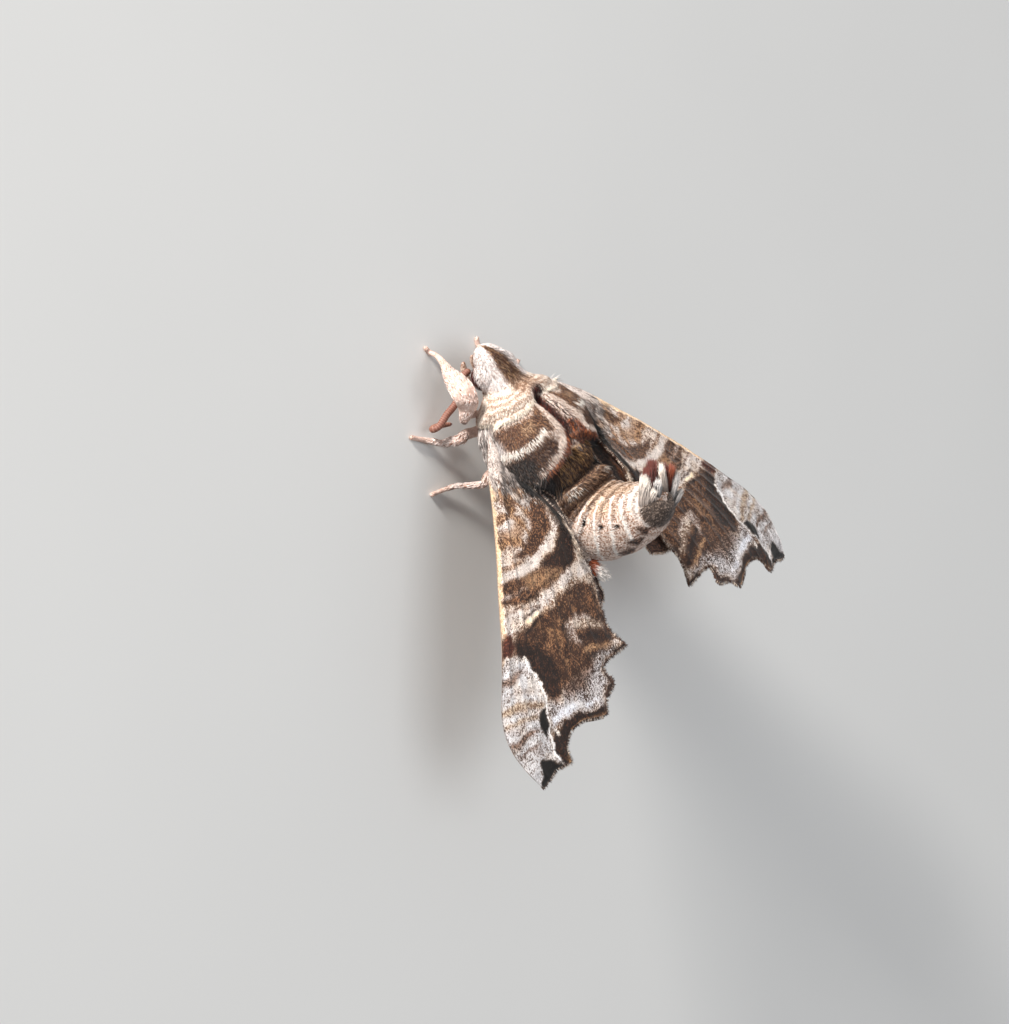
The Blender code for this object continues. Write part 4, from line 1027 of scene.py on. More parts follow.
# A coat of tufts. Each one is a thin flattened spike: it leaves the skin at root, sunk a little,
# runs along the lie, rises and bends back, and tapers to a point. Its rings have three corners
def makeCoat(name, coat, slot, material, rings=2):
    root, out, lie = coat["root"], unit(coat["out"]), coat["lie"]
    count = len(root)
    lie = unit(lie - out * np.sum(lie * out, axis=1, keepdims=True))
    across = np.cross(out, lie)
    length, width = coat["length"][:, None], coat["width"][:, None]
    rise, sway = coat["rise"][:, None], coat["sway"][:, None]
    points, depth = [], []
    for step in np.linspace(0, 1, rings + 1):
        run = lie * step * length * np.sqrt(np.maximum(1 - rise ** 2, 0.05))
        lift = out * (rise * length * (step - 0.35 * step ** 2) - 0.05 + 0.02 * (step > 0))
        bend = across * sway * length * step ** 2
        centre = root + run + lift + bend
        if step == 1:
            points.append(centre[:, None])
            depth.append(np.ones((count, 1)))
            continue
        wide = width * (1.0 - 0.35 * step) * (0.8 + 0.8 * step * (1 - step))
        corners = [centre - across * wide * 0.5, centre + across * wide * 0.5,
                   centre + out * wide * 0.32]
        points.append(np.stack(corners, axis=1))
        depth.append(np.full((count, 3), step))
    points = np.concatenate(points, axis=1)
    depth = np.concatenate(depth, axis=1)
    each = points.shape[1]
    start = (np.arange(count) * each)[:, None, None]
    faces = [(block + start).reshape(-1, block.shape[1]) for block in spikeFaces(rings)]
    # each tuft is darker towards its root: painted shade deep in the coat
    colour = coat["colour"][:, None] * (0.62 + 0.38 * depth ** 0.7)[..., None]
    tipColour = coat.get("tip")
    if tipColour is not None:
        colour = colour + (depth ** 1.5)[..., None] * (tipColour[:, None] - colour)
    made = meshOf(name, toWorld(points.reshape(-1, 3)), faces,
                  {"coatColour": withAlpha(colour.reshape(-1, 3))})
    offset = np.stack([depth - 0.5, (np.arange(each) % 3 - 1) * 0.5 + 0 * depth], axis=-1) * 0.003
    setMap(made, (coat["place"][:, None] + offset).reshape(-1, 2))
    made.data.materials.append(material)
    place(made, slot)


# Roots spread round a surface of two values, the second in degrees, in rows of one spacing
def scattered(surface, start, stop, rows, spacing, random):
    first, second = [], []
    for value in np.linspace(start, stop, rows):
        ring = surface(np.full(24, value), np.linspace(-180, 180, 24))
        girth = np.linalg.norm(np.diff(ring, axis=0), axis=1).sum()
        count = max(int(girth / spacing), 1)
        second.append(-180 + (np.arange(count) + random.random(count)) / count * 360)
        first.append(value + (random.random(count) - 0.5) * (stop - start) / rows * 1.2)
    return np.clip(np.concatenate(first), start, stop), np.concatenate(second)


# Colour of each tuft: light, dark or between them by the share of dark there and by chance
def tuftColour(made, random, chosen=slice(None)):
    light, dark = made.light.reshape(-1, 3)[chosen], made.dark.reshape(-1, 3)[chosen]
    share = made.share.ravel()[chosen]
    isDark = np.clip(0.5 + (share - random.random(len(share))) * 2.4, 0, 1)
    return (light + isDark[:, None] * (dark - light)) * between(random, len(share), 0.85, 0.3)[:, None]


# Where a tuft's root lies on the unwrapped body: round it from a left edge, and along it
def bodyPlace(left, angle, along):
    return np.stack([left + 0.42 * ((angle + 180) % 360) / 360, 0.05 + along], axis=1)


# Where a tuft's root lies on the unwrapped wing
def wingPlace(a, b):
    return np.stack([0.03 + 0.9 * (a + 3) / 29, 0.05 + 0.8 * (b + 4) / 14], axis=1)


# Some tufts of a coat
def pick(coat, keep):
    return {word: values[keep] for word, values in coat.items()}


# Several coats as one
def joined(*coats):
    return {word: np.concatenate([coat[word] for coat in coats]) for word in coats[0]}


# Coat of the trunk
def trunkCoat(random):
    spacing = coatSizes["trunkSpacing"]
    surface = partial(trunkPoint, inset=trunk["inset"])
    start, stop = coatSizes["trunkEnds"]
    rows = int((stop - start) / spacing)
    y, angle = scattered(surface, start, stop, rows, spacing, random)
    root = surface(y, angle)
    out, tailward = outward(surface, y, angle, 0.04, 1.5)
    table = coatSizes["trunkLengths"]
    length = readAt(table, y) * between(random, len(y), 0.7, 0.6)
    width = readAt(table, y, 2) * between(random, len(y), 0.75, 0.5)
    rise = readAt(table, y, 3) * between(random, len(y), 0.6, 0.8)
    crest = (1 - ease(np.abs(angle + 8), 14, 40)) * (1 - ease(y, -4.8, -3.8))
    rise = rise + 0.3 * crest
    length = length * (1 + 0.6 * crest)
    down = np.stack([np.sign(angle) * 0.25, 0 * y, -0.35 + 0 * y], axis=1)
    lobe = patchOf(y, np.abs(angle) / trunk["degrees"], trunk["lobe"], 0.4)
    inwards = np.stack([-np.sign(angle), 0.4 + 0 * y, 0.1 + 0 * y], axis=1)
    jitter = about(random, (len(y), 3), 0.5)
    side = ease(np.abs(angle), 20, 100)[:, None]
    waves = grain(y * 0.9 + 3, angle / 16 + 20, 71) - 0.5
    swirl = np.stack([waves * 0.7, 0 * y, 0 * y], axis=1)
    rear = (lobe * ease(y, 0.4, 2.6) * (1 - ease(np.abs(angle), 30, 70)))[:, None]
    lie = tailward + down * side + inwards * rear * 0.5 + jitter * 0.8 + swirl
    made = trunkMarkings(y, angle)
    coat = {"root": root, "out": out, "lie": lie, "length": length, "width": width, "rise": rise,
            "sway": about(random, len(y), 0.35), "colour": tuftColour(made, random),
            "place": bodyPlace(0.05, angle, 0.9 * (y + 7.4) / 12.6), "y": y, "angle": angle}
    eye = np.array(stance["eye"])
    away = np.hypot(root[:, 1] - eye[1], root[:, 2] - eye[2])
    lid = root[:, 2] - eye[2] > lidLine(root[:, 1] - eye[1])
    beside = (away < stance["eyeRadius"] + stance["eyeGap"]) & (np.abs(root[:, 0]) > 0.5)
    coat["root"] = socketed(root)
    ball = unit(coat["root"] - eye * np.stack([np.sign(root[:, 0]), 1 + 0 * y, 1 + 0 * y], axis=1))
    coat["out"] = np.where((beside & lid)[:, None], ball, out)
    return pick(coat, ~(beside & ~lid))


# Long soft tufts: black ones behind the lobes that reach over the wings' inner margins, dark partly as
# black fur and partly as painted shadow of the thorax, grey ones that cover the wing roots, white and
# rust ones under the edge of each lobe
def bridgeCoat(random, words):
    made = []
    degrees = trunk["degrees"]
    surface = partial(trunkPoint, inset=coatSizes["rootInset"])
    for word in words:
        sizes = coatSizes["bridges"][word]
        for side in (-1, 1):
            count = sizes["tufts"]
            path = np.array(sizes["path"])
            at = random.random(count) * (len(path) - 1)
            y, turn = (np.interp(at, np.arange(len(path)), column) for column in path.T)
            y = y + about(random, count, sizes["spread"][0])
            turn = turn + about(random, count, sizes["spread"][1])
            angle = turn * degrees * side - readAt(trunk["lean"], y) * degrees * sizes["leans"]
            root = surface(y, angle)
            out, tailward = outward(surface, y, angle, 0.04, 1.5)
            way = np.array(sizes["way"]) * (side, 1, 1)
            lie = way + 0.5 * tailward + about(random, (count, 3), sizes["loose"])
            dark, light = (linear(*colour) for colour in sizes["colours"])
            tone = between(random, count, 0.75, 0.5)[:, None]
            isLight = (random.random(count) < sizes["light"])[:, None]
            made.append({"root": root, "out": out, "lie": lie,
                         "length": sizes["length"] * between(random, count, 0.6, 0.5),
                         "width": sizes["width"] * between(random, count, 0.75, 0.5),
                         "rise": sizes["rise"] * between(random, count, 0.5, 1.0),
                         "sway": about(random, count, 0.3),
                         "colour": np.where(isLight, light, dark) * tone,
                         "place": bodyPlace(0.05, angle, 0.9 * (y + 7.4) / 12.6)})
    return joined(*made)


# Coat of the abdomen, without the crown at its end
def abdomenCoat(random):
    spacing = coatSizes["abdomenSpacing"]
    surface = partial(abdomenPoint, inset=abdomen["inset"])
    start, stop = coatSizes["abdomenEnds"]
    rows = int(coatSizes["abdomenRun"] / spacing)
    share, angle = scattered(surface, start, stop, rows, spacing, random)
    root = surface(share, angle)
    out, tailward = outward(surface, share, angle, 0.004, 1.5)
    station = np.interp(share, stationLength, stationNumbers)
    part = ringPart(station)
    front = 1 - ease(station, 0.8, 2.4)
    length = (coatSizes["abdomenLength"] + 0.5 * front) * between(random, len(share), 0.7, 0.6)
    rise = 0.12 + 0.1 * front + 0.1 * ease(part, 0.75, 0.95)
    rise = rise * between(random, len(share), 0.5, 1.0)
    jitter = about(random, (len(share), 3), 0.4)
    made = abdomenMarkings(station, angle)
    width = coatSizes["abdomenWidth"] * between(random, len(share), 0.7, 0.6)
    return {"root": root, "out": out, "lie": tailward + jitter, "length": length, "width": width,
            "rise": rise, "sway": about(random, len(share), 0.3),
            "colour": tuftColour(made, random),
            "place": bodyPlace(0.53, angle, 0.9 * share)}


# Crown on the end of the abdomen: locks that lean forward over the back. Each tuft runs from its
# own root towards the point of its lock
def crownCoat(random):
    sizes = coatSizes["crown"]
    made = []
    surface = partial(abdomenPoint, inset=coatSizes["rootInset"])
    for station, angle, run, count, look in sizes["locks"]:
        turn = angle + (random.random(count) + random.random(count) - 1) * sizes["angle"]
        at = np.minimum(station + about(random, count, sizes["station"]), sizes["last"])
        spot = np.interp(at, stationNumbers, stationLength)
        middle = np.interp(station, stationNumbers, stationLength)
        root = surface(spot, turn)
        normal = outward(surface, spot, turn, 0.004, 2)[0]
        tip = abdomenPoint(np.array([middle]), np.array([float(angle)]), 0.2)[0] + run
        reach = tip + about(random, (count, 3), sizes["loose"]) - root
        length = np.linalg.norm(reach, axis=1) * (0.55 + 0.45 * random.random(count) ** 0.7)
        aim = unit(reach)
        side = unit(normal - aim * np.sum(normal * aim, axis=1, keepdims=True))
        dark, light = (linear(*colour) for colour in sizes["looks"][look])
        tone = between(random, count, 0.72, 0.45)[:, None]
        made.append({"root": root, "out": side, "lie": aim, "length": length,
                     "width": sizes["width"] * between(random, count, 0.7, 0.6),
                     "rise": between(random, count, 0.12, 0.2),
                     "sway": about(random, count, 0.25), "colour": dark * tone,
                     "tip": light * tone,
                     "place": bodyPlace(0.53, turn, 0.9 * spot)})
    return joined(*made)


# Fringe along a wing's edge: short flat scales that point away from it
def fringeCoat(wing, over, flat, random):
    index = np.arange(flat.shape[0] * flat.shape[1]).reshape(flat.shape[:2])
    edge = np.concatenate([index[-1], index[::-1, -1][1:]])
    edge = edge[:int(len(edge) * coatSizes["fringeReach"])]
    spot = flat.reshape(-1, 2)[edge]
    steps = np.linalg.norm(np.diff(spot, axis=0), axis=1)
    length = np.concatenate([[0], np.cumsum(steps)])
    layers = []
    for layer in range(3):
        count = int(length[-1] / coatSizes["fringeSpacing"])
        at = np.sort(random.random(count)) * length[-1]
        rows = [np.interp(at, length, values) for values in over.reshape(-1, 3)[edge].T]
        root = np.stack(rows, axis=1)
        a, b = (np.interp(at, length, way) for way in spot.T)
        ahead, aside = (np.interp(at + 0.3, length, way) - np.interp(at - 0.3, length, way)
                        for way in spot.T)
        away = unit(np.stack([-aside, ahead], axis=1))
        away = away * np.sign(away[:, :1] * 0.3 + away[:, 1:] + 0.4)
        lie = away[:, :1] * wingFrame["along"] + away[:, 1:] * wingFrame["across"]
        out = wingFrame["out"] * np.ones((count, 1))
        root = root - lie * (0.06 + 0.1 * layer) - out * (0.06 + 0.03 * (2 - layer))
        checks = 0.5 + 0.5 * np.sin(at * 4.2 + 0.8 * np.sin(at * 1.3))
        share = wing["fringeDark"] + 0.5 * (checks - 0.5)
        isDark = random.random(count) < share
        light, dark = (linear(*colour) for colour in wing["fringe"])
        colour = np.where(isDark[:, None], dark, light)
        layers.append({
            "root": root, "out": out, "lie": lie + about(random, (count, 3), 0.35),
            "length": (0.3 + 0.12 * layer) * between(random, count, 0.7, 0.5),
            "width": np.full(count, 0.1), "rise": between(random, count, 0.04, 0.08),
            "sway": about(random, count, 0.3),
            "colour": colour * between(random, count, 0.8, 0.4)[:, None],
            "place": wingPlace(a, b)})
    return joined(*layers)


# Hairy scales that lie on the wing near its root and along its inner margin
def wingRootCoat(wing, over, flat, upper, random):
    a, b = flat.reshape(-1, 2).T
    inner = reachOf(a, b, smoothed(wing["trailing"], 60))[0]
    chance = np.maximum(1 - ease(a, 0.5, 5.0), (1 - ease(inner, 0.1, 0.9)) * (1 - ease(a, 8, 12)))
    chance = chance * wing["rootHair"]
    chosen = np.flatnonzero(random.random(len(a)) < chance)
    count = len(chosen)
    out = wingFrame["out"] * np.ones((count, 1))
    lie = wingFrame["along"] + 0.3 * wingFrame["across"] + about(random, (count, 3), 0.5)
    colour = tuftColour(upper, random, chosen)
    near = 1 - ease(a[chosen], 0, 5)
    return {"root": over.reshape(-1, 3)[chosen], "out": out, "lie": lie,
            "length": (0.4 + 0.7 * near) * between(random, count, 0.7, 0.6),
            "width": between(random, count, 0.07, 0.04),
            "rise": between(random, count, 0.08, 0.12) + 0.1 * near,
            "sway": about(random, count, 0.3), "colour": colour,
            "place": wingPlace(a[chosen], b[chosen])}


# Soft brush on the hindwing's inner corner, rust at its root and white at its end
def innerBrush(over, flat, random):
    sizes = coatSizes["brush"]
    near = np.hypot(flat[..., 0] - sizes["place"][0], flat[..., 1] - sizes["place"][1]).ravel()
    base = over.reshape(-1, 3)[near.argmin()]
    count = sizes["tufts"]
    run = np.array(sizes["run"])
    way = run[0] * wingFrame["along"] + run[1] * wingFrame["across"]
    part = random.random(count)[:, None]
    jitter = about(random, (count, 3), (0.75, 0.75, 0.3))
    white, rusty = (linear(*sizes[word]) for word in ("white", "rusty"))
    light = white * between(random, count, 1, -0.12)[:, None]
    rust = rusty * between(random, count, 0.6, 0.5)[:, None]
    return {"root": base + way * part * 0.75 + jitter, "lie": way + jitter * 1.2,
            "out": wingFrame["out"] * np.ones((count, 1)),
            "length": sizes["length"] * between(random, count, 0.6, 0.5),
            "width": between(random, count, 0.07, 0.04), "rise": between(random, count, 0.1, 0.25),
            "sway": about(random, count, 0.3),
            "colour": np.where(part < 0.45, rust, light),
            "tip": np.where(part < 0.3, rust * 1.3, light),
            "place": np.array([0.4, 0.95]) + about(random, (count, 2), 0.02)}


# A coat of the left side turned to the right one
def mirrored(coat):
    turned = dict(coat)
    for word in ("root", "out", "lie"):
        turned[word] = coat[word] * (-1, 1, 1)
    turned["sway"] = -coat["sway"]
    return turned


# Spacings, lengths and widths of the tufts, and the pieces that the trunk's coat is parted into
coatSizes = {
    "trunkSpacing": 0.108,
    "trunkEnds": (-7.3, 5.1),
    "headEnd": -3.9,
    "underAngle": 118,
    "rootInset": 0.25,
    # y, tuft length, width and how steeply it stands
    "trunkLengths": [
        (-7.4, 0.25, 0.05, 0.2), (-6.4, 0.42, 0.055, 0.2), (-5.0, 0.5, 0.06, 0.2),
        (-4.0, 0.4, 0.055, 0.2), (-2.8, 0.3, 0.055, 0.16), (-1.9, 0.38, 0.06, 0.18),
        (1.0, 0.46, 0.065, 0.18), (2.6, 0.55, 0.065, 0.22), (3.4, 0.8, 0.075, 0.3),
        (5.2, 0.75, 0.075, 0.2)
    ],
    # paths of y and steps of angle, tufts spread about them
    "bridges": {
        # the black tufts and the dark ones at the sides behind the lobes: partly black fur, partly
        # painted shadow of the thorax on the wing roots
        "black": {"tufts": 2600, "path": [(3.4, 4.9), (5.0, 4.9)], "spread": (0.9, 3.2), "leans": 0,
                  "way": (0.9, 0.5, 0.1), "loose": 0.5, "length": 1.4, "width": 0.08, "rise": 0.45,
                  "light": 0.1, "colours": ((34, 28, 27), (120, 104, 96))},
        "flankFurAndShade": {"tufts": 2000, "path": [(4.6, 3.4), (5.0, 5.8)], "spread": (0.8, 1.8), "leans": 0,
                  "way": (1.0, 0.9, 0.1), "loose": 0.7, "length": 2.0, "width": 0.09, "rise": 0.55,
                  "light": 0.15, "colours": ((36, 28, 25), (104, 80, 62))},
        "root": {"tufts": 1700, "path": [(-1.9, 6.6), (0.4, 6.9)], "spread": (0.6, 2.4), "leans": 0,
                 "way": (0.5, 0.9, 0.2), "loose": 0.4, "length": 1.35, "width": 0.085, "rise": 0.42,
                 "light": 0.65, "colours": ((168, 152, 146), (240, 230, 224))},
        "rust": {"tufts": 1700, "path": [(1.6, 0.45), (2.3, 0.8), (2.55, 1.6), (2.75, 2.6), (3.1, 3.5)],
                 "spread": (0.28, 0.3), "leans": 1, "way": (0.0, 0.8, 0.1), "loose": 0.5,
                 "length": 0.5, "width": 0.05, "rise": 0.32, "light": 0.4,
                 "colours": ((82, 42, 27), (174, 104, 62))},
        "maroon": {"tufts": 600, "path": [(-2.6, 0.0), (0.8, 0.0)], "spread": (0.5, 0.7), "leans": 1,
                   "way": (0.0, 1.0, 0.0), "loose": 0.3, "length": 0.5, "width": 0.06, "rise": 0.1,
                   "light": 0.3, "colours": ((48, 17, 11), (112, 43, 26))},
        "golden": {"tufts": 1100, "path": [(3.3, 0.4), (3.7, 2.6)], "spread": (1.3, 1.6), "leans": 1,
                   "way": (0.1, 0.9, 0.2), "loose": 0.7, "length": 0.8, "width": 0.065, "rise": 0.5,
                   "light": 0.3, "colours": ((70, 46, 32), (186, 142, 92))}},
    # the abdomen's coat: where it starts and ends as shares of the curl, and its length
    "abdomenSpacing": 0.125,
    "abdomenEnds": (0.02, 0.97),
    "abdomenRun": 12.5,
    "abdomenLength": 0.32,
    "abdomenWidth": 0.065,
    "fringeSpacing": 0.05,
    "fringeReach": 0.95,
    "brush": {"place": (8.5, 8.0), "run": (0.9, 1.1), "tufts": 900, "length": 0.7,
              "white": (252, 244, 236), "rusty": (190, 96, 52)},
    "legSpacing": 0.1,
    # locks of the crown: station, angle, run from root to tip, tufts, look
    "crown": {"station": 0.35, "last": 7.98, "angle": 26, "loose": 0.34, "width": 0.085,
              "locks": [
                  (7.15, 56, (-1.17, -1.88, 1.14), 700, "white"),
                  (7.45, 50, (-0.68, -1.4, 0.8), 600, "white"),
                  (7.7, 44, (-0.3, -0.6, 0.7), 320, "white"),
                  (7.7, 24, (-0.85, -2.1, 0.25), 560, "maroon"),
                  (7.65, 4, (-1.1, -2.25, 0.6), 560, "maroon"),
                  (7.9, -40, (-0.2, -2.3, 0.35), 520, "white"), (7.9, 20, (-0.3, -1.2, 0.7), 300, "grey"),
                  (7.8, -44, (-0.9, -1.9, 0.2), 480, "maroon"),
                  (7.75, -56, (-1.2, -1.55, 0.6), 480, "rusty"),
                  (7.6, -70, (-1.35, -0.7, 0.6), 300, "white"),
                  (7.8, -100, (-0.8, -1.5, 0.5), 480, "grey"), (7.7, -130, (-0.9, -0.9, 0.5), 360, "grey")
              ],
              "looks": {"white": ((172, 152, 140), (242, 232, 222)),
                        "maroon": ((40, 13, 9), (104, 38, 24)),
                        "rusty": ((52, 18, 11), (160, 78, 42)),
                        "grey": ((128, 122, 120), (214, 208, 204))}},
}


# A closed body of rings: each ring an equal number of points, its two ends capped by fans
def ringBody(rings):
    rows, around = rings.shape[:2]
    points = np.concatenate([rings.reshape(-1, 3), rings[:1].mean(axis=1), rings[-1:].mean(axis=1)])
    turn = np.arange(around)
    ahead = (turn + 1) % around
    first = np.stack([ahead, turn, np.full(around, rows * around)], axis=1)
    base = (rows - 1) * around
    last = np.stack([base + turn, base + ahead, np.full(around, rows * around + 1)], axis=1)
    return points, gridFaces(rows, around, True), np.concatenate([first, last])


# Several closed bodies, melted into one skin by a fine voxel grid, then evened
def meltedSkin(bodies):
    points, quads, triangles, start = [], [], [], 0
    for body in bodies:
        points.append(body[0])
        quads.append(body[1] + start)
        triangles.append(body[2] + start)
        start += len(body[0])
    rough = meshOf("rough", np.concatenate(points), [np.concatenate(quads), np.concatenate(triangles)])
    melt = rough.modifiers.new("melt", "REMESH")
    melt.mode = "VOXEL"
    melt.voxel_size = skinMelt["voxel"]
    solved = rough.evaluated_get(bpy.context.evaluated_depsgraph_get())
    mesh = bpy.data.meshes.new_from_object(solved)
    count = len(mesh.vertices)
    spots = numbersOf(mesh.vertices, "co", 3, np.float32).reshape(-1, 3).astype(float)
    edges = numbersOf(mesh.edges, "vertices", 2).reshape(-1, 2)
    faces = numbersOf(mesh.loops, "vertex_index", 1).reshape(-1, 4)
    degree = np.bincount(edges.ravel(), minlength=count)[:, None]
    for step in range(skinMelt["passes"]):
        total = np.zeros_like(spots)
        for axis in range(3):
            total[:, axis] = (np.bincount(edges[:, 0], spots[edges[:, 1], axis], count)
                              + np.bincount(edges[:, 1], spots[edges[:, 0], axis], count))
        spots = spots * 0.4 + 0.6 * total / degree
    bpy.data.objects.remove(rough)
    return spots, faces


# Fit the skin round each eye: a hollow below, and above it a lid that hugs the ball
def socketed(points):
    made = points.copy()
    radius = stance["eyeRadius"] + stance["eyeGap"]
    for side in (-1, 1):
        eye = np.array(stance["eye"]) * (side, 1, 1)
        flat = radius ** 2 - np.sum((made[:, 1:] - eye[1:]) ** 2, axis=1)
        deep = np.sqrt(np.maximum(flat, 0))
        outer = made[:, 0] * side
        lid = made[:, 2] - eye[2] > lidLine(made[:, 1] - eye[1])
        beside = (flat > 0) & (outer > 0.1)
        hollow = beside & ~lid & (outer > eye[0] * side - deep)
        made[hollow, 0] = np.maximum(eye[0] * side - deep, 0.12)[hollow] * side
        cover = beside & lid & (outer > 0.3)
        ball = eye[0] * side + deep
        soft = 0.3 * deep / radius
        over = (ball + outer + np.sqrt((ball - outer) ** 2 + soft ** 2)) / 2
        made[cover, 0] = over[cover] * side
    return made


# Height of the lid's edge over the middle of the eye, at a distance behind it
def lidLine(behind):
    return 0.36 + 0.08 * behind - 0.5 * behind ** 2


# Light colour, dark colour and share of dark at each point of the skin
def skinMarkings(points):
    x, y, z = points.T
    wide, top, bottom = (readAt(trunkTable, y, k) for k in (1, 2, 3))
    tall = (top - bottom) / 2
    trunkAngle = np.degrees(np.arctan2(x / wide, (z - (top + bottom) / 2) / tall))
    made = trunkMarkings(y, trunkAngle)
    away = np.hypot(y[:, None] - abdomenPath[:, 0], z[:, None] - abdomenPath[:, 1])
    nearest = away.argmin(axis=1)
    climb = np.radians(abdomenPath[nearest, 2])
    up = (z - abdomenPath[nearest, 1]) * np.cos(climb) - (y - abdomenPath[nearest, 0]) * np.sin(climb)
    angle = np.degrees(np.arctan2(np.abs(x) / abdomenPath[nearest, 4], up / abdomenPath[nearest, 3]))
    station = np.interp(nearest / pathSteps, stationLength, stationNumbers)
    tail = abdomenMarkings(station, angle)
    isTail = y > skinMelt["tailFrom"]
    made.light = np.where(isTail[:, None], tail.light, made.light)
    made.dark = np.where(isTail[:, None], tail.dark, made.dark)
    made.share = np.where(isTail, tail.share, made.share)
    return made


# A leg or feeler as rings along a smooth path, its broad side turned one way
def limbRings(stations, count, around, swell=None):
    path = smoothed(stations, count)
    run = unit(np.gradient(path[:, :3], axis=0))
    broad = unit(np.cross(run, limbLooks["broadSide"]))
    deep = unit(np.cross(run, broad))
    turn = np.linspace(0, 2 * math.pi, around, endpoint=False)
    size = path[:, 3:5] * (1 if swell is None else swell[:, None])
    rings = (path[:, None, :3]
             + np.cos(turn)[None, :, None] * broad[:, None] * size[:, None, :1]
             + np.sin(turn)[None, :, None] * deep[:, None] * size[:, None, 1:])
    return rings, path


# Stations with their half width and half depth less by the depth of the scales
def slimmed(stations, slim):
    return [(x, y, z, wide - slim, deep - slim) for x, y, z, wide, deep in stations]


# One leg or feeler from its hidden root, swelling a little in each segment, flat on the floor
def makeLimb(name, stations, kind):
    looks = limbLooks[kind]
    count, around = looks["rings"], looks["around"]
    length = np.linspace(0, 1, count)
    swell = 1 + looks["swell"] * np.sin(length * looks["segments"] * math.pi) ** 2
    swell = swell * (0.5 + 0.5 * ease(length, 0, 0.02) * ease(1 - length, 0, 0.02))
    thin = slimmed([looks["inside"][name]] + stations, looks["slim"])
    rings = limbRings(thin, count, around, swell)[0]
    rings[..., 2] = np.maximum(rings[..., 2], 0)
    points, quads, ends = ringBody(rings)
    spot = np.stack([np.repeat(length, around), np.tile(np.arange(around) / around, count)], axis=1)
    spot = np.concatenate([spot, [[0, 0], [1, 0]]])
    spot = np.concatenate([spot, np.zeros((len(spot), 1))], axis=1)
    made = meshOf("scaled_" + name, floorToWorld(points), [quads, ends], {"spot": spot})
    made.data.materials.append(kindMaterials[kind])
    place(made, looks["slot"], name)


# Scale tufts over the legs, lying towards the foot
def legCoat(stations, index, random):
    steps, around = 90, 24
    looks = limbLooks["leg"]
    rings, path = limbRings(slimmed(stations, looks["slim"]), steps, around)
    length = np.linalg.norm(np.diff(path[:, :3], axis=0), axis=1).sum()
    girth = 2 * math.pi * path[:, 3:5].mean()
    count = int(length * girth / coatSizes["legSpacing"] ** 2)
    row = random.random(count) * (steps - 4) + 1
    turn = random.random(count) * around
    base, corner = row.astype(int), turn.astype(int)
    u, v = (row - base)[:, None], (turn - corner)[:, None]
    after = (corner + 1) % around
    near = rings[base, corner] * (1 - v) + rings[base, after] * v
    far = rings[base + 1, corner] * (1 - v) + rings[base + 1, after] * v
    root = near * (1 - u) + far * u
    centre = path[base, :3] * (1 - u) + path[base + 1, :3] * u
    out = unit(root - centre)
    lie = unit(path[base + 1, :3] - path[base, :3]) + about(random, (count, 3), 0.5)
    out[:, 2] = np.where(root[:, 2] < 0.3, np.maximum(out[:, 2], -0.1), out[:, 2])
    share = row / steps
    foot = ease(share, 0.5, 0.8)
    size = looks["tuft"] * (1 - 0.55 * foot) * between(random, count, 0.7, 0.6)
    isDark = random.random(count) < 0.22 + 0.2 * foot
    thigh, shin, dark = (linear(*looks["colours"][word]) for word in ("thigh", "foot", "dark"))
    light = thigh * (1 - foot)[:, None] + shin * foot[:, None]
    colour = np.where(isDark[:, None], dark, light) * between(random, count, 0.8, 0.4)[:, None]
    return {"root": floorToBody(root), "out": floorToBody(out + (0, 0, stance["lift"])),
            "lie": floorToBody(lie + (0, 0, stance["lift"])), "length": size,
            "width": 0.1 * between(random, count, 0.7, 0.6) * (1 - 0.3 * foot),
            "rise": between(random, count, 0.16, 0.14),
            "sway": about(random, count, 0.3), "colour": colour,
            "place": np.stack([0.04 + 0.15 * index + 0.1 * turn / around, 0.05 + 0.9 * share], axis=1)}


# Shader nodes of one material, and sockets that can be reckoned with like numbers
class Graph:
    def __init__(self, name):
        self.material = bpy.data.materials.new(name)
        self.material.use_nodes = True
        self.tree = self.material.node_tree
        self.shader = self.tree.nodes["Principled BSDF"]

    def node(self, kind, settings=None, inputs=None, output=0):
        made = self.tree.nodes.new(kind)
        for word, value in (settings or {}).items():
            setattr(made, word, value)
        for word, value in (inputs or {}).items():
            self.put(made.inputs[word], value)
        return Sock(self, made.outputs[output])

    def put(self, socket, value):
        if isinstance(value, Sock):
            self.tree.links.new(value.socket, socket)
        else:
            socket.default_value = value

    def set(self, **inputs):
        for word, value in inputs.items():
            self.put(self.shader.inputs[word.replace("_", " ")], value)

    def field(self, word, output="Fac"):
        return self.node("ShaderNodeAttribute", {"attribute_name": word}, None, output)

    def place(self):
        return self.node("ShaderNodeTexCoord", None, None, "Object")

    def noise(self, spot, scale, detail):
        return self.node("ShaderNodeTexNoise", None, {"Vector": spot, "Scale": scale,
                                                      "Detail": detail})

    def cells(self, spot, scale):
        return self.node("ShaderNodeTexVoronoi", None, {"Vector": spot, "Scale": scale})

    # a colour times a grey tone
    def toned(self, colour, tone):
        level = self.node("ShaderNodeCombineColor", None, {"Red": tone, "Green": tone, "Blue": tone})
        return self.mix(1.0, colour, level, "MULTIPLY")

    def mix(self, share, first, second, kind="MIX"):
        settings = {"data_type": "RGBA", "blend_type": kind}
        return self.node("ShaderNodeMix", settings, {0: share, 6: first, 7: second}, 2)

    def bump(self, height, strength, distance):
        made = self.node("ShaderNodeBump", None, {"Height": height, "Strength": strength,
                                                  "Distance": distance})
        self.put(self.shader.inputs["Normal"], made)


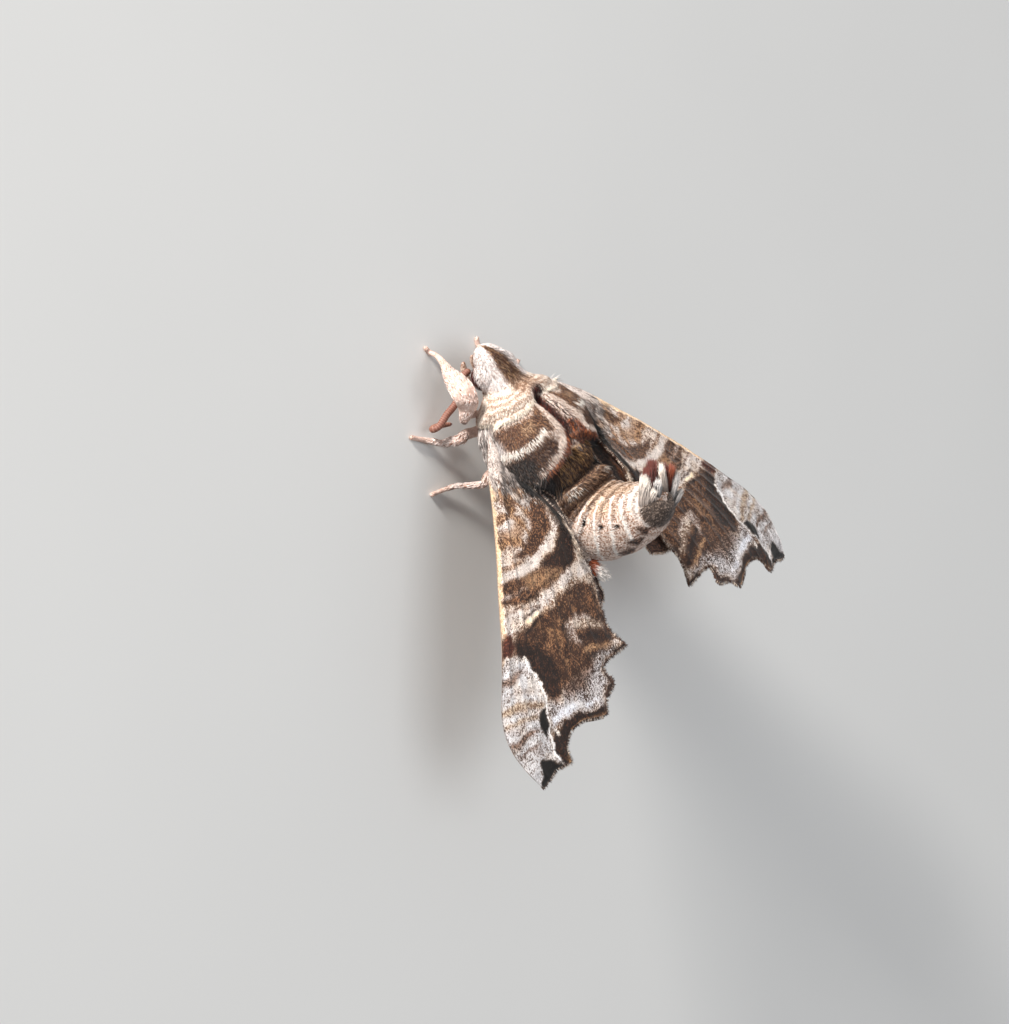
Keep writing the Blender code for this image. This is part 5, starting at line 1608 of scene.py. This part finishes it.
class Sock:
    def __init__(self, graph, socket):
        self.graph = graph
        self.socket = socket

    def maths(self, kind, *values, clamp=False):
        return self.graph.node("ShaderNodeMath", {"operation": kind, "use_clamp": clamp},
                               dict(enumerate((self,) + values)))

    def __add__(self, other):
        return self.maths("ADD", other)

    __radd__ = __add__

    def __sub__(self, other):
        return self.maths("SUBTRACT", other)

    def __rsub__(self, other):
        return (self * -1.0) + other

    def __mul__(self, other):
        return self.maths("MULTIPLY", other)

    def sine(self):
        return self.maths("SINE")

    def clamped(self):
        return self.maths("ADD", 0.0, clamp=True)

    # rises smoothly from 0 to 1 between two values
    def ramp(self, low, high):
        return self.graph.node("ShaderNodeMapRange", {"interpolation_type": "SMOOTHSTEP"},
                               {"Value": self, "From Min": low, "From Max": high})

    # another output of the node that this one comes from
    def beside(self, output):
        return Sock(self.graph, self.socket.node.outputs[output])


# Scales: cells of a Voronoi pattern, each one wholly light or dark by its own random number
# against the share of dark there, every cell a little lighter or darker than the next
def scaledMaterial(name, scale, roughness, depth, onWing):
    graph = Graph(name)
    spot = graph.field("spot", "Vector") if onWing else graph.place()
    spread = graph.node("ShaderNodeMapping", None, {"Vector": spot, "Scale": scale})
    away = graph.cells(spread, 1.0)
    random = graph.node("ShaderNodeSeparateColor", None, {"Color": away.beside("Color")})
    second = random.beside(1)
    cloud = graph.noise(spread, 0.2, 4.0)
    share = graph.field("darkShare") + (cloud - 0.5) * 0.5
    isDark = (random - share).ramp(0.15, -0.15)
    mixed = graph.mix(isDark, graph.field("lightColour", "Color"), graph.field("darkColour", "Color"))
    tone = second * 0.5 + 0.72 + (cloud - 0.5) * 0.4
    graph.set(Base_Color=graph.toned(mixed, tone), Roughness=second * 0.12 + roughness,
              Specular_IOR_Level=0.25, Sheen_Weight=0.12, Sheen_Roughness=0.5)
    graph.bump((1.0 - away) * 0.6 + random * 0.5 + cloud * 0.6, 0.5, depth)
    return graph.material


# Hair-like scales: their own colour, streaked finely along and across by noise
def coatMaterial(name, roughness):
    graph = Graph(name)
    spot = graph.place()
    fine = graph.noise(spot, 9000.0, 2.0)
    tone = 0.74 + fine * 0.3 + graph.noise(spot, 1100.0, 3.0) * 0.24
    graph.set(Base_Color=graph.toned(graph.field("coatColour", "Color"), tone),
              Roughness=fine * 0.15 + roughness, Specular_IOR_Level=0.3, Sheen_Weight=0.15)
    graph.bump(fine, 0.25, 0.00002)
    return graph.material


# Feelers: pale rings on a reddish stem, by a sine along the length, with a scaly grain
def antennaMaterial():
    graph = Graph("antennaScales")
    along = graph.node("ShaderNodeSeparateXYZ", None, {"Vector": graph.field("spot", "Vector")})
    waves = (along * (limbLooks["antenna"]["segments"] * 2 * math.pi)).sine() * 0.5 + 0.5
    upper = (along.beside(1) * (2 * math.pi)).sine() * 0.5 + 0.5
    noise = graph.noise(graph.place(), 5200.0, 3.0)
    share = (waves * 0.55 + noise * 0.6 + upper * 0.25 - 0.3).clamped()
    colour = graph.mix(share.ramp(0.3, 0.95), (*linear(120, 74, 60), 1), (*linear(188, 148, 128), 1))
    graph.set(Base_Color=colour, Roughness=noise * 0.25 + 0.5)
    graph.bump(noise * 0.6 + waves * 0.5, 0.5, 0.00003)
    return graph.material


# Legs under their scales: pinkish skin with a fine cell grain, darker where the noise and cells rise
def legMaterial():
    graph = Graph("legSkin")
    spot = graph.place()
    noise = graph.noise(spot, 2600.0, 4.0)
    cells = graph.cells(spot, 9000.0)
    share = (noise * 1.4 + cells * 0.4 - 0.45).clamped()
    colour = graph.mix(share, (*linear(228, 204, 192), 1), (*linear(158, 118, 100), 1))
    graph.set(Base_Color=colour, Roughness=noise * 0.3 + 0.5)
    graph.bump(noise + cells * 0.5, 0.5, 0.00004)
    return graph.material


# Eye: dark wine red under a clear coat, faceted by a fine cell grid and clouded inside
def eyeMaterial():
    graph = Graph("eyeFacets")
    spot = graph.place()
    cells = graph.cells(spot, 16000.0)
    cloud = graph.noise(spot, 1500.0, 3.0)
    share = (cloud * 1.2 + cells * 0.3 - 0.35).clamped()
    colour = graph.mix(share, (*linear(70, 22, 20), 1), (*linear(28, 10, 12), 1))
    graph.set(Base_Color=colour, Roughness=cloud * 0.14 + 0.16, Coat_Weight=0.5,
              Coat_Roughness=0.08)
    graph.bump(cells, 0.35, 0.000012)
    return graph.material


# Floor: pale paint with a very faint even cloud
def floorMaterial():
    graph = Graph("paleFloor")
    cloud = graph.noise(graph.place(), 30.0, 2.0)
    colour = graph.mix(cloud, (*linear(214, 214, 212), 1), (*linear(220, 220, 218), 1))
    graph.set(Base_Color=colour, Roughness=cloud * 0.1 + 0.75)
    return graph.material


# Under "inside", the place in the body from which each limb's hidden root comes
limbLooks = {
    "broadSide": (0.648, -0.225, 0.728),
    "leg": {"slim": 0.1, "rings": 100, "around": 20, "swell": 0.08, "segments": 9,
            "slot": "leg_pink", "tuft": 0.42,
            "colours": {"thigh": (240, 222, 214), "foot": (228, 204, 190), "dark": (162, 120, 100)},
            "inside": {"foreleg_left": (1.6, -2.3, 2.6, 0.4, 0.38),
                       "midleg_left": (2.0, -1.0, 2.6, 0.5, 0.45),
                       "hindleg_left": (1.8, 2.3, 2.9, 0.42, 0.4),
                       "foreleg_right": (-1.6, -2.4, 2.7, 0.42, 0.4),
                       "midleg_right": (-2.0, -1.0, 2.6, 0.5, 0.45),
                       "hindleg_right": (-1.8, 2.0, 2.9, 0.42, 0.4)}},
    "antenna": {"slim": 0.04, "rings": 270, "around": 18, "swell": 0.07, "segments": 48,
                "slot": "antenna_brown",
                "inside": {"antenna_left": (1.2, -5.8, 3.05, 0.3, 0.3),
                           "antenna_right": (-1.2, -5.8, 3.05, 0.3, 0.3)}},
}
skinMaterial = scaledMaterial("bodyScales", (9000.0, 9000.0, 9000.0), 0.66, 0.00005, False)
wingMaterial = scaledMaterial("wingScales", (10.5, 17.0, 1.0), 0.62, 0.00006, True)
hairMaterial = coatMaterial("hairScales", 0.58)
kindMaterials = {"leg": legMaterial(), "antenna": antennaMaterial()}
eyeLook = eyeMaterial()

# Wings
seed = 100
for side, hand in ((1, "left"), (-1, "right")):
    for word, wing, markings, slot in (("forewing", foreWing, foreMarkings, "wing_brown"),
                                       ("hindwing", hindWing, hindMarkings, "hindwing_rust")):
        made, over, flat, upper = makeWing(word + "Blade_" + hand, wing, markings, side)
        made.data.materials.append(wingMaterial)
        place(made, slot, word + "_" + hand)
        random = np.random.default_rng(seed)
        seed = seed + 1
        coats = [(word + "Fringe_", fringeCoat(wing, over, flat, random), 2),
                 (word + "Hair_", wingRootCoat(wing, over, flat, upper, random), 2)]
        if wing is hindWing:
            coats.append(("innerBrush_", innerBrush(over, flat, random), 3))
        for name, coat, rings in coats:
            coat = mirrored(coat) if side < 0 else coat
            makeCoat(name + hand, coat, slot, hairMaterial, rings)

# Skin of the head, trunk, palps and abdomen
turn = np.linspace(-180, 180, 96, endpoint=False)
trunkRings = trunkPoint(np.linspace(*trunk["ends"], 150)[:, None], turn[None, :], trunk["inset"])
abdomenRings = abdomenPoint(np.linspace(0, 1, 170)[:, None], turn[None, :], abdomen["inset"])
bodies = [ringBody(trunkRings), ringBody(abdomenRings)]
for side in (-1, 1):
    palpRings = limbRings(palpStations, 24, 20)[0] * (side, 1, 1)
    bodies.append(ringBody(palpRings))
skinPoints, skinFaces = meltedSkin(bodies)
skinPoints = socketed(skinPoints)
skinColours = skinMarkings(skinPoints)
# the skin's colours are darkened by the shade factor: painted shade under the coat
skin = meshOf("skin", toWorld(skinPoints), [skinFaces],
              {"lightColour": withAlpha(skinColours.light * skinMelt["shade"]),
               "darkColour": withAlpha(skinColours.dark * skinMelt["shade"]),
               "darkShare": skinColours.share})
skin.data.materials.append(skinMaterial)
place(skin, "fur_grey", "head", "collar", "thorax", "tegula_left", "tegula_right", "abdomen_front",
      "abdomen_middle", "abdomen_tail", "palp_left", "palp_right")

# Coats of the body
random = np.random.default_rng(7)
whole = trunkCoat(random)
isHead = whole["y"] < coatSizes["headEnd"]
isLeft = whole["angle"] > 0
isUnder = np.abs(whole["angle"]) > coatSizes["underAngle"]
for name, keep in (("headCoat", isHead), ("thoraxCoatLeft", ~isHead & isLeft & ~isUnder),
                   ("thoraxCoatRight", ~isHead & ~isLeft & ~isUnder),
                   ("breastCoat", ~isHead & isUnder)):
    makeCoat(name, pick(whole, keep), "fur_grey", hairMaterial, 3)
# black tufts and the dark ones at the sides: partly black fur, partly painted shadow of the thorax on the
# wing roots
for name, words in (("flankFurAndShadeTufts", ("black", "flankFurAndShade")), ("wingRootTufts", ("root",)),
                    ("lobeTufts", ("rust", "maroon", "golden"))):
    makeCoat(name, bridgeCoat(random, words), "fur_grey", hairMaterial, 3)
makeCoat("abdomenCoat", abdomenCoat(random), "abdomen_tan", hairMaterial, 2)
makeCoat("tailCoat", crownCoat(random), "abdomen_tan", hairMaterial, 3)

# Legs and feelers
legCoats = []
for index, (name, stations) in enumerate(limbs.items()):
    kind = "antenna" if name.startswith("antenna") else "leg"
    makeLimb(name, stations, kind)
    if kind == "leg":
        legCoats.append(legCoat(stations, index, random))
makeCoat("legCoat", joined(*legCoats), "leg_pink", hairMaterial, 2)

# Eyes: at two angles, the sine of one times the cosine and sine of the other, and its cosine
rows = np.linspace(0.02, math.pi - 0.02, stance["eyeRings"])[:, None]
columns = np.linspace(0, 2 * math.pi, stance["eyeColumns"], endpoint=False)[None, :]
ball = np.stack([np.sin(rows) * np.cos(columns), np.sin(rows) * np.sin(columns),
                 np.cos(rows) + 0 * columns], axis=-1) * stance["eyeRadius"]
for side, hand in ((1, "left"), (-1, "right")):
    points, quads, ends = ringBody((ball + np.array(stance["eye"]) * (side, 1, 1))[::-1])
    made = meshOf("eyeBall_" + hand, toWorld(points), [quads, ends])
    made.data.materials.append(eyeLook)
    place(made, "eye_red", "eye_" + hand)

# Floor
half = view["floorHalf"]
corners = np.array([(-half, -half, 0), (half, -half, 0), (half, half, 0), (-half, half, 0)], float)
floorPlane = meshOf("floor", corners + (0, 0, float(floorToWorld(np.zeros(3))[2])),
                    [np.array([[0, 1, 2, 3]])])
floorPlane.data.materials.append(floorMaterial())

# Camera
back = unit(np.array(view["back"]))
right = unit(np.cross(view["up"], back))
ways = [right, np.cross(back, right), back]
middle = np.array(ways).T @ np.array([-view["offset"][0], -view["offset"][1], view["distance"]])
spotCamera = toWorld(middle)
axes = [pitched(way) - pitched(np.zeros(3)) for way in ways]
camera = bpy.data.objects.new("camera", bpy.data.cameras.new("camera"))
bpy.context.scene.collection.objects.link(camera)
camera.matrix_world = Matrix([[axes[0][k], axes[1][k], axes[2][k], spotCamera[k]]
                              for k in range(3)] + [[0, 0, 0, 1]])
camera.data.sensor_width = view["sensor"]
camera.data.lens = view["focal"] / view["height"] * view["sensor"]
camera.data.clip_start = 0.001
camera.data.clip_end = 20
bpy.context.scene.camera = camera


# Soft square lamps that look at the moth, placed along the camera's own directions
target = toWorld(np.array(view["lit"]))
for name, (aim, size, watts, colour) in view["lamps"].items():
    light = bpy.data.lights.new(name, "AREA")
    light.size = size
    light.energy = watts
    light.color = colour
    lamp = bpy.data.objects.new(name, light)
    bpy.context.scene.collection.objects.link(lamp)
    spot = target + (axes[0] * aim[0] + axes[1] * aim[1] + axes[2] * aim[2])
    spot[2] = max(spot[2], view["lowestLamp"])
    lamp.location = spot
    lamp.rotation_euler = Vector(spot - target).to_track_quat("Z", "Y").to_euler()

# Air
world = bpy.data.worlds.new("softRoom")
bpy.context.scene.world = world
world.use_nodes = True
world.node_tree.nodes["Background"].inputs["Color"].default_value = view["air"]
world.node_tree.nodes["Background"].inputs["Strength"].default_value = view["airStrength"]
bpy.context.scene.view_settings.view_transform = "Standard"
